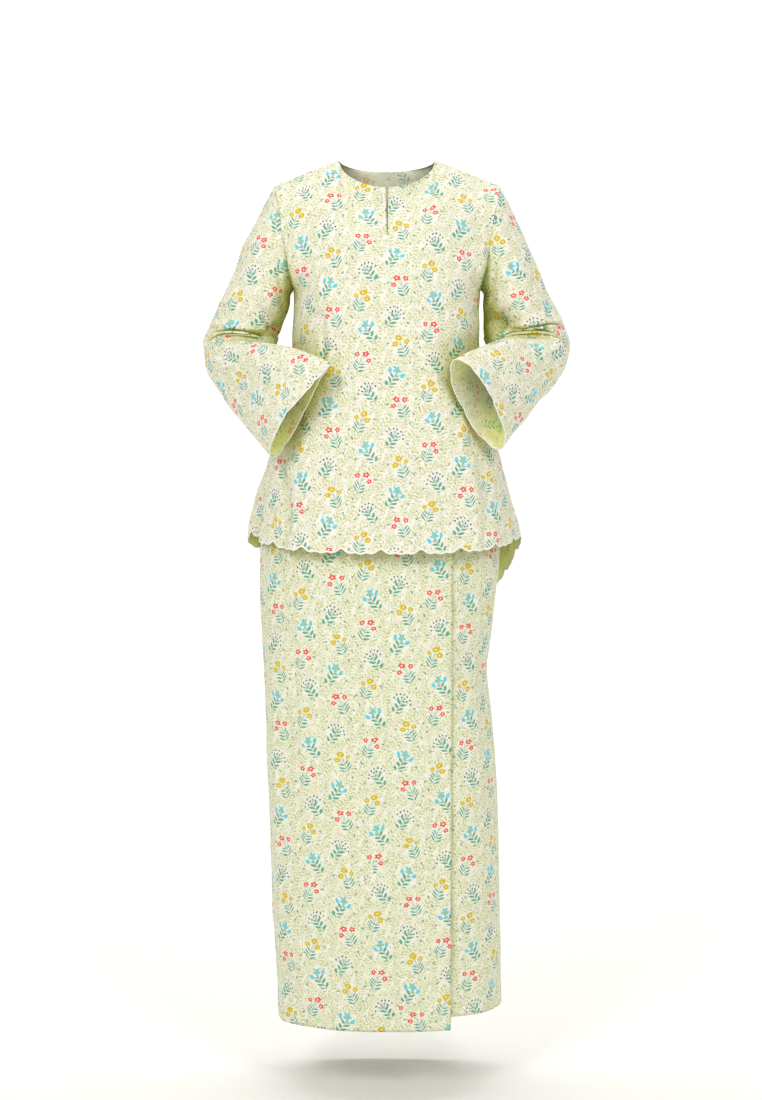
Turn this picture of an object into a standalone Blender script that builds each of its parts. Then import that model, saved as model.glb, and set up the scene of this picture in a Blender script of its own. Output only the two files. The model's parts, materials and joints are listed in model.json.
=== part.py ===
"""Baju kurung: a straight tunic with bell sleeves over a front-wrapped skirt.

Metres, +Z up.  X runs across the shoulders, -Y is the front.  The origin is
the middle of the neck opening, level with the neck ends of the shoulder
seams, where the wearer's shoulders carry the tunic.  Every piece of cloth is
one open surface, lofted through the section tables below, and thickened
outward, so the tables hold the inside sizes of the worn garment.
"""
import math
from collections import namedtuple

import bmesh
import bpy
from mathutils import Vector

# ------------------------------------------------------------ driving sizes
CLOTH = 0.0015            # one layer of cloth
BAND_CLOTH = 0.0030       # the doubled waistband
EDGING_CLOTH = 0.0019     # cloth edge with its satin stitching
SEAM = 0.0003             # clearance between neighbouring pieces

NECK_HALF = 0.077         # neck opening, half width on the shoulder line
SHOULDER_HALF = 0.179     # shoulder point, half width
SHOULDER_DROP = 0.040     # shoulder point below the neck end of the seam
NECK_DROP = {"front": 0.045, "back": 0.014}
NECK_REACH = {"front": 0.058, "back": 0.050}
SLIT_WIDTH = 0.0032       # opening slit below the front neck
SLIT_ROW = 5              # grid row where the slit ends

UNDERARM_HALF = 0.149     # armhole: foot, half width
UNDERARM_Z = -0.205
ARMHOLE_REACH = 0.058     # armhole: half depth, front to back
ARM_ROWS = 10             # grid rows from the shoulder line to the underarm

HEM_SIDE_Z = -0.590       # tunic hem at the side seams
HEM_DROP = {"front": 0.017, "back": 0.143}     # and how much lower at centre
SCALLOP_PITCH = 0.060     # one scallop, a deep notch and three low lobes
SCALLOP_DEPTH = 0.0085
EDGING_DEPTH = 0.0035     # edging above the notches of the scallops
EDGE_GAP = 0.0004         # clearance between a panel's edge and its edging

SKIRT_TOP_Z = -0.405
SKIRT_HEM_Z = -1.388
UNDER_RISE = 0.020        # the under-wrap ends this much higher
WAISTBAND = 0.034
BAND_GAP = 0.0010         # band above the flared top edge of the panels
WRAP_EDGE_TOP_X = 0.102   # free edge of the over-wrap, at the hip
WRAP_EDGE_HEM_X = 0.100   # and at the hem
UNDER_REACH_X = -0.085    # hidden free edge of the under-wrap
WRAP_LIFT = 0.0026        # over-wrap stands off the under-wrap

SQUARE = 2.5              # exponent of the rounded-square body sections

# ------------------------------------------------------------ section tables
Section = namedtuple("Section", "z left right front back")

TUNIC = [  #    z      left   right  front  back
    Section(0.000, 0.179, 0.179, 0.050, 0.058),
    Section(-0.050, 0.170, 0.170, 0.074, 0.078),
    Section(-0.100, 0.160, 0.160, 0.096, 0.094),
    Section(-0.150, 0.153, 0.153, 0.113, 0.103),
    Section(-0.205, 0.149, 0.149, 0.126, 0.105),
    Section(-0.265, 0.150, 0.146, 0.134, 0.102),
    Section(-0.320, 0.154, 0.149, 0.137, 0.099),
    Section(-0.400, 0.170, 0.163, 0.138, 0.103),
    Section(-0.480, 0.189, 0.182, 0.141, 0.119),
    Section(-0.545, 0.200, 0.196, 0.147, 0.133),
    Section(-0.600, 0.208, 0.209, 0.153, 0.142),
    Section(-0.740, 0.218, 0.222, 0.164, 0.153),
]

SKIRT = [  #     z      left   right  front  back
    Section(-0.370, 0.128, 0.116, 0.094, 0.084),
    Section(-0.405, 0.132, 0.120, 0.097, 0.088),
    Section(-0.500, 0.170, 0.154, 0.112, 0.110),
    Section(-0.600, 0.201, 0.180, 0.124, 0.128),
    Section(-0.660, 0.205, 0.179, 0.126, 0.130),
    Section(-0.770, 0.202, 0.167, 0.123, 0.122),
    Section(-0.820, 0.199, 0.162, 0.121, 0.117),
    Section(-0.905, 0.196, 0.171, 0.118, 0.112),
    Section(-1.035, 0.191, 0.180, 0.116, 0.108),
    Section(-1.200, 0.187, 0.184, 0.115, 0.106),
    Section(-1.388, 0.176, 0.188, 0.117, 0.107),
]

# Outline of one scallop: how far along it, and how much of its full depth.
Scallop = namedtuple("Scallop", "along depth")

SCALLOP = [
    Scallop(0.00, 0.00), Scallop(0.11, 0.55), Scallop(0.22, 0.88), Scallop(0.36, 0.72),
    Scallop(0.50, 1.00), Scallop(0.64, 0.72), Scallop(0.78, 0.88), Scallop(0.89, 0.55),
]

# Soft folds that run down the cloth.  The angle goes round the body from the
# left side seam (0) over the front (90) to the right side seam (180) and the
# back (270); a fold starts at top_z and reaches its depth at full_z.
Fold = namedtuple("Fold", "angle width depth top_z full_z")

TUNIC_FOLDS = [  # angle width  depth   top_z   full_z
    Fold(356.0, 11.0, 0.0150, -0.440, -0.605),
    Fold(23.0, 8.0, 0.0030, -0.450, -0.590),
    Fold(52.0, 11.0, 0.0050, -0.240, -0.420),
    Fold(76.0, 9.0, -0.0040, -0.360, -0.600),
    Fold(104.0, 10.0, 0.0040, -0.380, -0.600),
    Fold(131.0, 11.0, 0.0055, -0.300, -0.560),
    Fold(184.0, 11.0, 0.0080, -0.440, -0.605),
    Fold(216.0, 10.0, 0.0075, -0.330, -0.640),
    Fold(246.0, 10.0, -0.0055, -0.330, -0.680),
    Fold(270.0, 9.0, 0.0050, -0.300, -0.700),
    Fold(296.0, 10.0, -0.0060, -0.330, -0.680),
    Fold(326.0, 10.0, 0.0075, -0.350, -0.640),
]

SKIRT_FOLDS = [  # angle width  depth   top_z   full_z
    Fold(24.0, 9.0, 0.0030, -0.620, -0.900),
    Fold(58.0, 12.0, -0.0020, -0.700, -1.100),
    Fold(96.0, 14.0, 0.0030, -0.700, -1.200),
    Fold(158.0, 9.0, -0.0025, -0.640, -0.900),
    Fold(222.0, 12.0, 0.0040, -0.640, -1.000),
    Fold(262.0, 12.0, -0.0040, -0.640, -1.050),
    Fold(306.0, 12.0, 0.0040, -0.640, -1.000),
]

# Bell sleeves.  Each row is one loop of the sleeve: its centre, the half
# chord to the line that leaves the shoulder point (side) and the half chord
# to the line that leaves the front of the armhole (fore).
Loop = namedtuple("Loop", "name centre side fore pinch bow")

LEFT_SLEEVE = [
    #     name           centre                    side                      fore                     pinch bow
    Loop("head",        (-0.1640, 0.000, -0.1225), (-0.0150, 0.000, 0.0825), (0.000, -0.058, 0.000), 0.00, 0.0),
    Loop("upper",       (-0.1905, 0.001, -0.1695), (-0.0340, 0.000, 0.0440), (0.000, -0.059, -0.004), 0.00, 0.0),
    Loop("bicep",       (-0.2050, 0.004, -0.2130), (-0.0465, 0.000, 0.0200), (0.002, -0.058, -0.003), 0.00, 0.0),
    Loop("over_elbow",  (-0.2255, 0.008, -0.2600), (-0.0570, 0.002, 0.0065), (0.004, -0.057, -0.004), 0.00, 0.0),
    Loop("elbow",       (-0.2390, 0.006, -0.2960), (-0.0580, -0.002, 0.0010), (0.012, -0.053, 0.014), 0.05, 0.0),
    Loop("under_elbow", (-0.2330, -0.018, -0.3240), (-0.0440, -0.022, 0.0040), (0.028, -0.043, 0.037), 0.10, 0.0),
    Loop("forearm",     (-0.1970, -0.078, -0.3505), (-0.0250, -0.022, 0.0100), (0.040, -0.030, 0.055), 0.25, 0.1),
    Loop("cuff",        (-0.1377, -0.150, -0.3921), (-0.0075, -0.0200, 0.0053), (0.0456, -0.024, 0.0710), -0.88, -0.26),
]

RIGHT_SLEEVE = [
    Loop("head",        (0.1640, 0.000, -0.1225), (0.0150, 0.000, 0.0825), (0.000, -0.058, 0.000), 0.00, 0.0),
    Loop("upper",       (0.1885, 0.001, -0.1685), (0.0330, 0.000, 0.0445), (0.000, -0.059, -0.004), 0.00, 0.0),
    Loop("bicep",       (0.2030, 0.004, -0.2120), (0.0465, 0.000, 0.0200), (-0.002, -0.058, -0.003), 0.00, 0.0),
    Loop("over_elbow",  (0.2190, 0.008, -0.2590), (0.0605, 0.002, 0.0065), (-0.004, -0.057, -0.004), 0.00, 0.0),
    Loop("elbow",       (0.2290, 0.006, -0.2940), (0.0665, -0.002, 0.0010), (-0.012, -0.053, 0.014), 0.05, 0.0),
    Loop("under_elbow", (0.2280, -0.018, -0.3190), (0.0480, -0.022, 0.0040), (-0.028, -0.043, 0.036), 0.10, 0.0),
    Loop("forearm",     (0.1950, -0.078, -0.3410), (0.0270, -0.023, 0.0110), (-0.036, -0.030, 0.050), 0.05, 0.0),
    Loop("cuff",        (0.1440, -0.142, -0.3820), (0.0210, -0.0185, 0.0085), (-0.036, -0.024, 0.069), 0.00, 0.05),
]

# Where the finished sleeve has its loops, from head (0) to cuff (1), and the
# crease that the bent elbow folds across its front: a tuck between two rolls.
SLEEVE_RINGS = [0, .07, .15, .23, .31, .38, .435, .47, .505, .55, .62, .71, .81, .91, 1]
Tuck = namedtuple("Tuck", "ring turn spread depth")
ELBOW = [
    Tuck(0.435, 80.0, 62.0, 0.0045),
    Tuck(0.470, 84.0, 60.0, -0.0065),
    Tuck(0.505, 88.0, 55.0, 0.0025),
]
SLEEVE_GAP = {"top": 0.0004, "side": 0.0016, "foot": 0.0042}


# ------------------------------------------------------------ small helpers
def ease(t):
    t = min(1.0, max(0.0, t))
    return t * t * (3.0 - 2.0 * t)


def read(table, z, column):
    """Smooth value of a section column at height z (rows run downward)."""
    pos = [row.z for row in table]
    val = [getattr(row, column) for row in table]
    if z >= pos[0]:
        return val[0]
    if z <= pos[-1]:
        return val[-1]
    k = max(i for i in range(len(pos) - 1) if pos[i] >= z)
    step = pos[k + 1] - pos[k]
    t = (z - pos[k]) / step

    def slope(i):
        lo, hi = max(i - 1, 0), min(i + 1, len(pos) - 1)
        return (val[hi] - val[lo]) / (pos[hi] - pos[lo])

    a, b = slope(k) * step, slope(k + 1) * step
    return ((2 * t**3 - 3 * t**2 + 1) * val[k] + (t**3 - 2 * t**2 + t) * a
            + (3 * t**2 - 2 * t**3) * val[k + 1] + (t**3 - t**2) * b)


def fold_depth(folds, angle, z):
    total = 0.0
    for fold in folds:
        away = (angle - fold.angle + 180.0) % 360.0 - 180.0
        total += (fold.depth * math.exp(-(away / fold.width) ** 2)
                  * ease((fold.top_z - z) / (fold.top_z - fold.full_z)))
    return total


def body_point(table, folds, angle, z, lift=0.0):
    """Point of a rounded-square body section, pushed out by its folds."""
    a = math.radians(angle)
    c, s = math.cos(a), math.sin(a)
    half = read(table, z, "left" if c > 0 else "right")
    reach = read(table, z, "front" if s > 0 else "back")
    x = -math.copysign(abs(c) ** (2.0 / SQUARE), c) * half
    y = -math.copysign(abs(s) ** (2.0 / SQUARE), s) * reach
    out = Vector((-c / half, -s / reach, 0.0)).normalized()
    return Vector((x, y, z)) + out * (fold_depth(folds, angle, z) + lift)


def angle_at(table, x, z):
    """Angle on the front half of a section where it passes x."""
    half = read(table, z, "left" if x < 0 else "right")
    c = min(1.0, abs(x) / half) ** (SQUARE / 2.0)
    return math.degrees(math.acos(math.copysign(c, -x)))


# ------------------------------------------------------------ mesh making
def finish(name, mesh, colour, roughness, thickness):
    obj = bpy.data.objects.new(name, mesh)
    garment.objects.link(obj)
    obj.parent = stand
    wall = obj.modifiers.new("wall", "SOLIDIFY")
    wall.thickness = thickness
    wall.offset = 1.0
    mat = bpy.data.materials.new(name)
    mat.use_nodes = True
    shader = mat.node_tree.nodes["Principled BSDF"]
    shader.inputs["Base Color"].default_value = (*colour, 1.0)
    shader.inputs["Roughness"].default_value = roughness
    shader.inputs["Metallic"].default_value = 0.0
    mesh.materials.append(mat)
    mesh.shade_smooth()
    return obj


def loft(name, rows, colour, closed=False, holes=(), thickness=CLOTH, roughness=0.85):
    """One cloth surface through rows of points, facing outward."""
    bm = bmesh.new()
    grid = [[bm.verts.new(p) for p in row] for row in rows]
    count = len(rows[0])
    for r in range(len(rows) - 1):
        for c in range(count if closed else count - 1):
            if (r, c) in holes:
                continue
            d = (c + 1) % count
            bm.faces.new((grid[r][c], grid[r + 1][c], grid[r + 1][d], grid[r][d]))
    stray = [v for v in bm.verts if not v.link_faces]
    bmesh.ops.delete(bm, geom=stray, context="VERTS")
    mesh = bpy.data.meshes.new(name)
    bm.to_mesh(mesh)
    bm.free()
    return finish(name, mesh, colour, roughness, thickness)


# ------------------------------------------------------------ tunic body
def armhole(turn):
    """Armhole curve of the right side: 0 at the shoulder, 180 underarm."""
    mid = (SHOULDER_HALF + UNDERARM_HALF) / 2
    high = (-SHOULDER_DROP + UNDERARM_Z) / 2
    c, s = math.cos(math.radians(turn)), math.sin(math.radians(turn))
    return Vector((mid + (SHOULDER_HALF - UNDERARM_HALF) / 2 * c,
                   -ARMHOLE_REACH * s,
                   high + (-SHOULDER_DROP - UNDERARM_Z) / 2 * c))


def column_angles(side):
    """Column angles of a tunic panel, with columns at the neck corners."""
    neck = math.degrees(math.acos((NECK_HALF / SHOULDER_HALF) ** (SQUARE / 2)))
    half = [neck * i / 7 for i in range(7)] + [neck + (90 - neck) * i / 3 for i in range(3)]
    slit = math.degrees(math.acos((SLIT_WIDTH / 2 / SHOULDER_HALF) ** (SQUARE / 2)))
    if side == "front":
        return half + [slit, 180 - slit] + [180 - a for a in reversed(half)]
    return half + [90] + [180 - a for a in reversed(half)]


def tunic_point(side, angle, row_share, upper):
    """Point of a tunic panel; angle 0..180 runs left seam, centre, right seam."""
    c, s = math.cos(math.radians(angle)), abs(math.sin(math.radians(angle)))
    u = -math.copysign(abs(c) ** (2.0 / SQUARE), c)
    front = side == "front"
    way = -1.0 if front else 1.0
    ring = angle if front else 360.0 - angle
    if not upper:
        z = UNDERARM_Z + (hem_z(side, angle) - UNDERARM_Z) * row_share
        p = body_point(TUNIC, TUNIC_FOLDS, ring % 360.0, z)
        if angle < 0.01 or angle > 179.99:
            p.y = 0.0
        return p + Vector((0, way * SEAM / 2, 0))
    share = (1 - math.cos(math.pi * row_share)) / 2
    neck_u = NECK_HALF / SHOULDER_HALF
    if abs(u) < neck_u:
        bow = math.sqrt(1 - (u / neck_u) ** 2)
        top, start = -NECK_DROP[side] * bow, NECK_REACH[side] * bow
    else:
        bow = 0.0
        top, start = -SHOULDER_DROP * (abs(u) - neck_u) / (1 - neck_u), 0.0
    z = top + (UNDERARM_Z - top) * share
    foot = (z - UNDERARM_Z) / (-SHOULDER_DROP - UNDERARM_Z)
    foot = min(1.0, max(0.0, foot))
    half = UNDERARM_HALF + (SHOULDER_HALF - UNDERARM_HALF) * foot
    edge = ARMHOLE_REACH * math.sqrt(max(0.0, 1 - (2 * foot - 1) ** 2))
    low = ease((-0.120 - z) / 0.085)
    open_shape, round_shape = 1 - abs(u) ** 2.6, s ** (2.0 / SQUARE)
    shape = open_shape * (1 - low) + round_shape * low
    rim = (1 - open_shape) * (1 - low) + abs(u) ** 10 * low
    full = read(TUNIC, z, side) * shape + edge * rim
    # the cloth rounds over the shoulder, and leaves the neck at a slope
    reach = 0.060 + 0.075 * bow
    t = min(1.0, (top - z) / reach)
    round_over = math.sqrt(max(0.0, 1 - (1 - t) ** 2))
    sloping = 1 - (1 - t) ** 1.6
    lean = round_over * (1 - bow) + sloping * bow
    depth = start + (full - start) * lean
    return Vector((u * half, way * (depth + SEAM / 2), z))


def hem_z(side, angle):
    return HEM_SIDE_Z - HEM_DROP[side] * abs(math.sin(math.radians(angle)))


def tunic_panel(side, colour):
    angles = column_angles(side)
    shares = [0, .10, .22, .35, .49, .63, .76, .89, 1.0]
    rows = [[tunic_point(side, a, r / ARM_ROWS, True) for a in angles]
            for r in range(ARM_ROWS + 1)]
    rows += [[tunic_point(side, a, s, False) for a in angles] for s in shares[1:]]
    middle = len(angles) // 2 - 1
    holes = {(r, middle) for r in range(SLIT_ROW)} if side == "front" else ()
    if side == "back":
        rows = [row[::-1] for row in rows]
    return loft("tunic_" + side, rows, colour, holes=holes)


def along(line, shares, closed=False):
    """Points and down-directions at shares of the way along an edge line."""
    if closed:
        line = line + line[:1]
    run = [0.0]
    for (p, _), (q, _) in zip(line, line[1:]):
        run.append(run[-1] + (q - p).length)
    spots = []
    for share in shares:
        want = run[-1] * share
        i = min(max(j for j in range(len(run)) if run[j] <= want + 1e-9), len(run) - 2)
        t = (want - run[i]) / (run[i + 1] - run[i])
        (p, d), (q, e) = line[i], line[i + 1]
        spots.append((p.lerp(q, t), d.lerp(e, t).normalized()))
    return spots


def edge_length(line):
    return sum((q - p).length for (p, _), (q, _) in zip(line, line[1:]))


def scalloped(name, line, depth, closed, turn_over, colour):
    """Edging that hangs from an edge line and ends in scallops."""
    total = edge_length(line + line[:1] if closed else line)
    count = round(total / SCALLOP_PITCH)
    outline = [((k + row.along) / count, row.depth) for k in range(count) for row in SCALLOP]
    if not closed:
        outline.append((1.0, 0.0))
    spots = along(line, [share for share, _ in outline], closed)
    top = [p + down * EDGE_GAP for p, down in spots]
    foot = [p + down * (EDGE_GAP + EDGING_DEPTH + depth * wave)
            for (p, down), (_, wave) in zip(spots, outline)]
    rows = [top, foot]
    if turn_over:
        rows = [row[::-1] for row in rows]
    return loft(name, rows, colour, closed=closed, thickness=EDGING_CLOTH, roughness=0.6)


def hem_edging(side, colour):
    line = []
    for angle in column_angles(side):
        if side == "front" and 88 < angle < 92:
            continue                     # the slit's two columns end above
        foot = tunic_point(side, angle, 1.0, False)
        line.append((foot, (foot - tunic_point(side, angle, 0.97, False)).normalized()))
    scalloped("hem_edging_" + side, line, SCALLOP_DEPTH, False, side == "back", colour)


# ------------------------------------------------------------ sleeves
def sleeve_point(loops, t, turn):
    """Smooth point of a sleeve: t from 0 (head) to 1 (cuff), turn in degrees."""
    last = len(loops) - 1
    k = min(int(t * last), last - 1)
    f = t * last - k

    def loop_point(i):
        if i < 0:
            return loop_point(0) * 2 - loop_point(1)
        if i > last:
            return loop_point(last) * 2 - loop_point(last - 1)
        row = loops[i]
        c, s = math.cos(math.radians(turn)), math.sin(math.radians(turn))
        spread = c * (1 + row.pinch * s) - row.bow * c * c
        return Vector(row.centre) + Vector(row.side) * spread + Vector(row.fore) * s

    p0, p1, p2, p3 = (loop_point(k + i) for i in (-1, 0, 1, 2))
    return 0.5 * (2 * p1 + (p2 - p0) * f + (2 * p0 - 5 * p1 + 4 * p2 - p3) * f * f
                  + (3 * p1 - p0 - 3 * p2 + p3) * f**3)


def sleeve_turns():
    return [180.0 * r / ARM_ROWS for r in range(2 * ARM_ROWS)]


def sleeve(name, loops, colour):
    rows = []
    for ring, t in enumerate(SLEEVE_RINGS):
        row = [sleeve_point(loops, t, turn) for turn in sleeve_turns()]
        middle = sum(row, Vector()) / len(row)
        for tuck in ELBOW:
            if tuck.ring == t:
                for i, turn in enumerate(sleeve_turns()):
                    away = (turn - tuck.turn + 180) % 360 - 180
                    push = tuck.depth * math.exp(-(away / tuck.spread) ** 2)
                    row[i] = row[i] + (row[i] - middle).normalized() * push
        fade = 1 - ring / 3     # the head stands just clear of the armhole
        if fade > 0:
            for i, turn in enumerate(sleeve_turns()):
                c = math.cos(math.radians(turn))
                gap = (SLEEVE_GAP["side"] + (SLEEVE_GAP["top"] - SLEEVE_GAP["side"]) * max(0, c)
                       + (SLEEVE_GAP["foot"] - SLEEVE_GAP["side"]) * max(0, -c) ** 1.5)
                row[i] = row[i] + Vector((math.copysign(gap * fade, row[i].x), 0, 0))
        rows.append(row)
    if loops is RIGHT_SLEEVE:
        rows = [row[::-1] for row in rows]
    return loft(name, rows, colour, closed=True)


def cuff_edging(name, loops, colour):
    line = []
    for turn in sleeve_turns():
        end = sleeve_point(loops, 1.0, turn)
        line.append((end, (end - sleeve_point(loops, 0.98, turn)).normalized()))
    scalloped(name, line, 0.6 * SCALLOP_DEPTH, True, loops is RIGHT_SLEEVE, colour)


# ------------------------------------------------------------ skirt
SKIRT_SHARES = [0, .06, .13, .21, .30, .38, .46, .60, .74, .88, 1.0]


def back_hem(angle):
    """Back hem: it climbs to meet the shorter under-wrap at the right seam."""
    return SKIRT_HEM_Z + UNDER_RISE * (1 - ease((angle - 180.0) / 70.0))


def skirt_panel(name, first, last, columns, hem, colour, lift=None):
    """Skirt panel between two edge lines, each given as angle of height."""
    rows = []
    for share in SKIRT_SHARES:
        level = SKIRT_TOP_Z + (SKIRT_HEM_Z - SKIRT_TOP_Z) * share
        a, b = first(level), last(level)
        row = []
        for c in range(columns + 1):
            angle = a + (b - a) * c / columns
            z = SKIRT_TOP_Z + (hem(angle) - SKIRT_TOP_Z) * share
            row.append(body_point(SKIRT, SKIRT_FOLDS, angle, z, lift(angle, z) if lift else 0.0))
        rows.append(row)
    return loft(name, rows, colour)


def seam_angle(seam, way):
    """A side seam, moved by half the seam clearance along the section."""
    def at(z):
        step = 0.02
        a = body_point(SKIRT, SKIRT_FOLDS, seam, z)
        b = body_point(SKIRT, SKIRT_FOLDS, seam + way * step, z)
        return seam + way * step * (SEAM / 2) / max((b - a).length, 1e-6)
    return at


def wrap_edge(z):
    t = (SKIRT_TOP_Z - z) / (SKIRT_TOP_Z - SKIRT_HEM_Z)
    x = WRAP_EDGE_TOP_X + (WRAP_EDGE_HEM_X - WRAP_EDGE_TOP_X) * t
    return angle_at(SKIRT, x * min(1.0, 0.82 + 0.9 * t), z)


def under_edge(z):
    return angle_at(SKIRT, UNDER_REACH_X, z)


def over_lift(angle, z):
    start = under_edge(z)
    return WRAP_LIFT * ease((angle - start * 0.45) / (start * 0.40))


def waistband(colour):
    turns = [360.0 * i / 24 for i in range(24)]
    rows = []
    for z in (SKIRT_TOP_Z + WAISTBAND, SKIRT_TOP_Z + BAND_GAP):
        rows.append([body_point(SKIRT, SKIRT_FOLDS, a, z, 0.0006) for a in turns])
    return loft("skirt_waistband", rows, colour, closed=True, thickness=BAND_CLOTH)


# ------------------------------------------------------------ build
for old in list(bpy.data.objects):
    bpy.data.objects.remove(old, do_unlink=True)

garment = bpy.data.collections.new("baju_kurung")
bpy.context.scene.collection.children.link(garment)
stand = bpy.data.objects.new("shoulder_line", None)
garment.objects.link(stand)

PRINT = (0.80, 0.83, 0.62)       # cream cloth with its leafy print, seen as one
PALE = (0.86, 0.87, 0.72)
WHITE = (0.92, 0.92, 0.86)

tunic_panel("front", PRINT)
tunic_panel("back", PRINT)
sleeve("sleeve_left", LEFT_SLEEVE, PRINT)
sleeve("sleeve_right", RIGHT_SLEEVE, PRINT)
hem_edging("front", WHITE)
hem_edging("back", WHITE)
cuff_edging("cuff_edging_left", LEFT_SLEEVE, WHITE)
cuff_edging("cuff_edging_right", RIGHT_SLEEVE, WHITE)

skirt_panel("skirt_back", seam_angle(180.0, 1), seam_angle(360.0, -1), 13, back_hem, PRINT)
skirt_panel("skirt_over_wrap", seam_angle(0.0, 1), wrap_edge, 12,
            lambda angle: SKIRT_HEM_Z, PRINT, lift=over_lift)
skirt_panel("skirt_under_wrap", under_edge, seam_angle(180.0, -1), 9,
            lambda angle: SKIRT_HEM_Z + UNDER_RISE, PALE)
waistband(PALE)
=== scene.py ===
import json
import math

import bpy
import numpy as np
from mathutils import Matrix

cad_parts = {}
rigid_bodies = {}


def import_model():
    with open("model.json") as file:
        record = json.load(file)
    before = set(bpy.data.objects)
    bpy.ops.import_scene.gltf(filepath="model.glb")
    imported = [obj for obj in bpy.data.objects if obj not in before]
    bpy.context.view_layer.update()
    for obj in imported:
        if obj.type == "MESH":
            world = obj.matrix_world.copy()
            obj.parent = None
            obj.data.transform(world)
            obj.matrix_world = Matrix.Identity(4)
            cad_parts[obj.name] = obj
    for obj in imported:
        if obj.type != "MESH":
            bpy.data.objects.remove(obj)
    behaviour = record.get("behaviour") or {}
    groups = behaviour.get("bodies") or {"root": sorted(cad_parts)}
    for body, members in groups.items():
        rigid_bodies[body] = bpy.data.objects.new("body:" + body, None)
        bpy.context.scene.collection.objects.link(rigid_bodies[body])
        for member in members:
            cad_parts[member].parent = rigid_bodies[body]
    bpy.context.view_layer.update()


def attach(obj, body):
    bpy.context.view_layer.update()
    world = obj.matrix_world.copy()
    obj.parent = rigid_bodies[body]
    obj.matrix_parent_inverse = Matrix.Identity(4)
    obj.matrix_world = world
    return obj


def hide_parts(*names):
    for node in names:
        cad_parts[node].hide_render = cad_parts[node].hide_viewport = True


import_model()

# ------------------------------------------------------------------ sizes
CLOTH = 0.0010
NECK_HALF, SHOULDER_HALF, SHOULDER_DROP = 0.077, 0.179, 0.040
NECK_DROP = {"front": 0.045, "back": 0.014}
NECK_REACH = {"front": 0.058, "back": 0.050}
SLIT_WIDTH, SLIT_END_Z = 0.0034, -0.1245
UNDERARM_HALF, UNDERARM_Z, ARMHOLE_REACH = 0.149, -0.205, 0.058
HEM_SIDE_Z, HEM_DROP = -0.590, {"front": 0.017, "back": 0.143}
SCALLOP_PITCH, SCALLOP_DEPTH, EDGING_DEPTH = 0.060, 0.0085, 0.0035
SKIRT_TOP_Z, SKIRT_HEM_Z, UNDER_RISE = -0.405, -1.388, 0.020
WAISTBAND = 0.034
WRAP_EDGE_TOP_X, WRAP_EDGE_HEM_X = 0.102, 0.100
UNDER_REACH_X, WRAP_LIFT = -0.085, 0.0026
SQUARE = 2.5

# z, left, right, front, back
TUNIC = [
    (0.000, 0.179, 0.179, 0.050, 0.058), (-0.050, 0.170, 0.170, 0.074, 0.078),
    (-0.100, 0.160, 0.160, 0.096, 0.094), (-0.150, 0.153, 0.153, 0.113, 0.103),
    (-0.205, 0.149, 0.149, 0.126, 0.105), (-0.265, 0.150, 0.146, 0.134, 0.102),
    (-0.320, 0.154, 0.149, 0.137, 0.099), (-0.400, 0.170, 0.163, 0.138, 0.103),
    (-0.480, 0.189, 0.182, 0.141, 0.119), (-0.545, 0.200, 0.196, 0.147, 0.133),
    (-0.600, 0.208, 0.209, 0.153, 0.142), (-0.740, 0.218, 0.222, 0.164, 0.153),
]
SKIRT = [
    (-0.370, 0.128, 0.116, 0.094, 0.084), (-0.405, 0.132, 0.120, 0.097, 0.088),
    (-0.500, 0.170, 0.154, 0.112, 0.110), (-0.600, 0.201, 0.180, 0.124, 0.128),
    (-0.660, 0.205, 0.179, 0.126, 0.130), (-0.770, 0.202, 0.167, 0.123, 0.122),
    (-0.820, 0.199, 0.162, 0.121, 0.117), (-0.905, 0.196, 0.171, 0.118, 0.112),
    (-1.035, 0.191, 0.180, 0.116, 0.108), (-1.200, 0.187, 0.184, 0.115, 0.106),
    (-1.388, 0.176, 0.188, 0.117, 0.107),
]
# angle, width, depth, top_z, full_z
TUNIC_FOLDS = [
    (356.0, 6.5, 0.0185, -0.430, -0.590), (8.0, 4.6, -0.0220, -0.440, -0.590), (19.0, 6.0, 0.0030, -0.450, -0.590),
    (52.0, 11.0, 0.0050, -0.240, -0.420), (76.0, 9.0, -0.0040, -0.360, -0.600),
    (104.0, 10.0, 0.0040, -0.380, -0.600), (131.0, 11.0, 0.0055, -0.300, -0.560),
    (184.0, 11.0, 0.0080, -0.440, -0.605), (216.0, 10.0, 0.0075, -0.330, -0.640),
    (246.0, 10.0, -0.0055, -0.330, -0.680), (270.0, 9.0, 0.0050, -0.300, -0.700),
    (296.0, 10.0, -0.0060, -0.330, -0.680), (326.0, 10.0, 0.0075, -0.350, -0.640),
]
SKIRT_FOLDS = [
    (24.0, 9.0, 0.0030, -0.620, -0.900), (58.0, 12.0, -0.0020, -0.700, -1.100),
    (96.0, 14.0, 0.0030, -0.700, -1.200), (158.0, 9.0, -0.0025, -0.640, -0.900),
    (222.0, 12.0, 0.0040, -0.640, -1.000), (262.0, 12.0, -0.0040, -0.640, -1.050),
    (306.0, 12.0, 0.0040, -0.640, -1.000),
]
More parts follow.
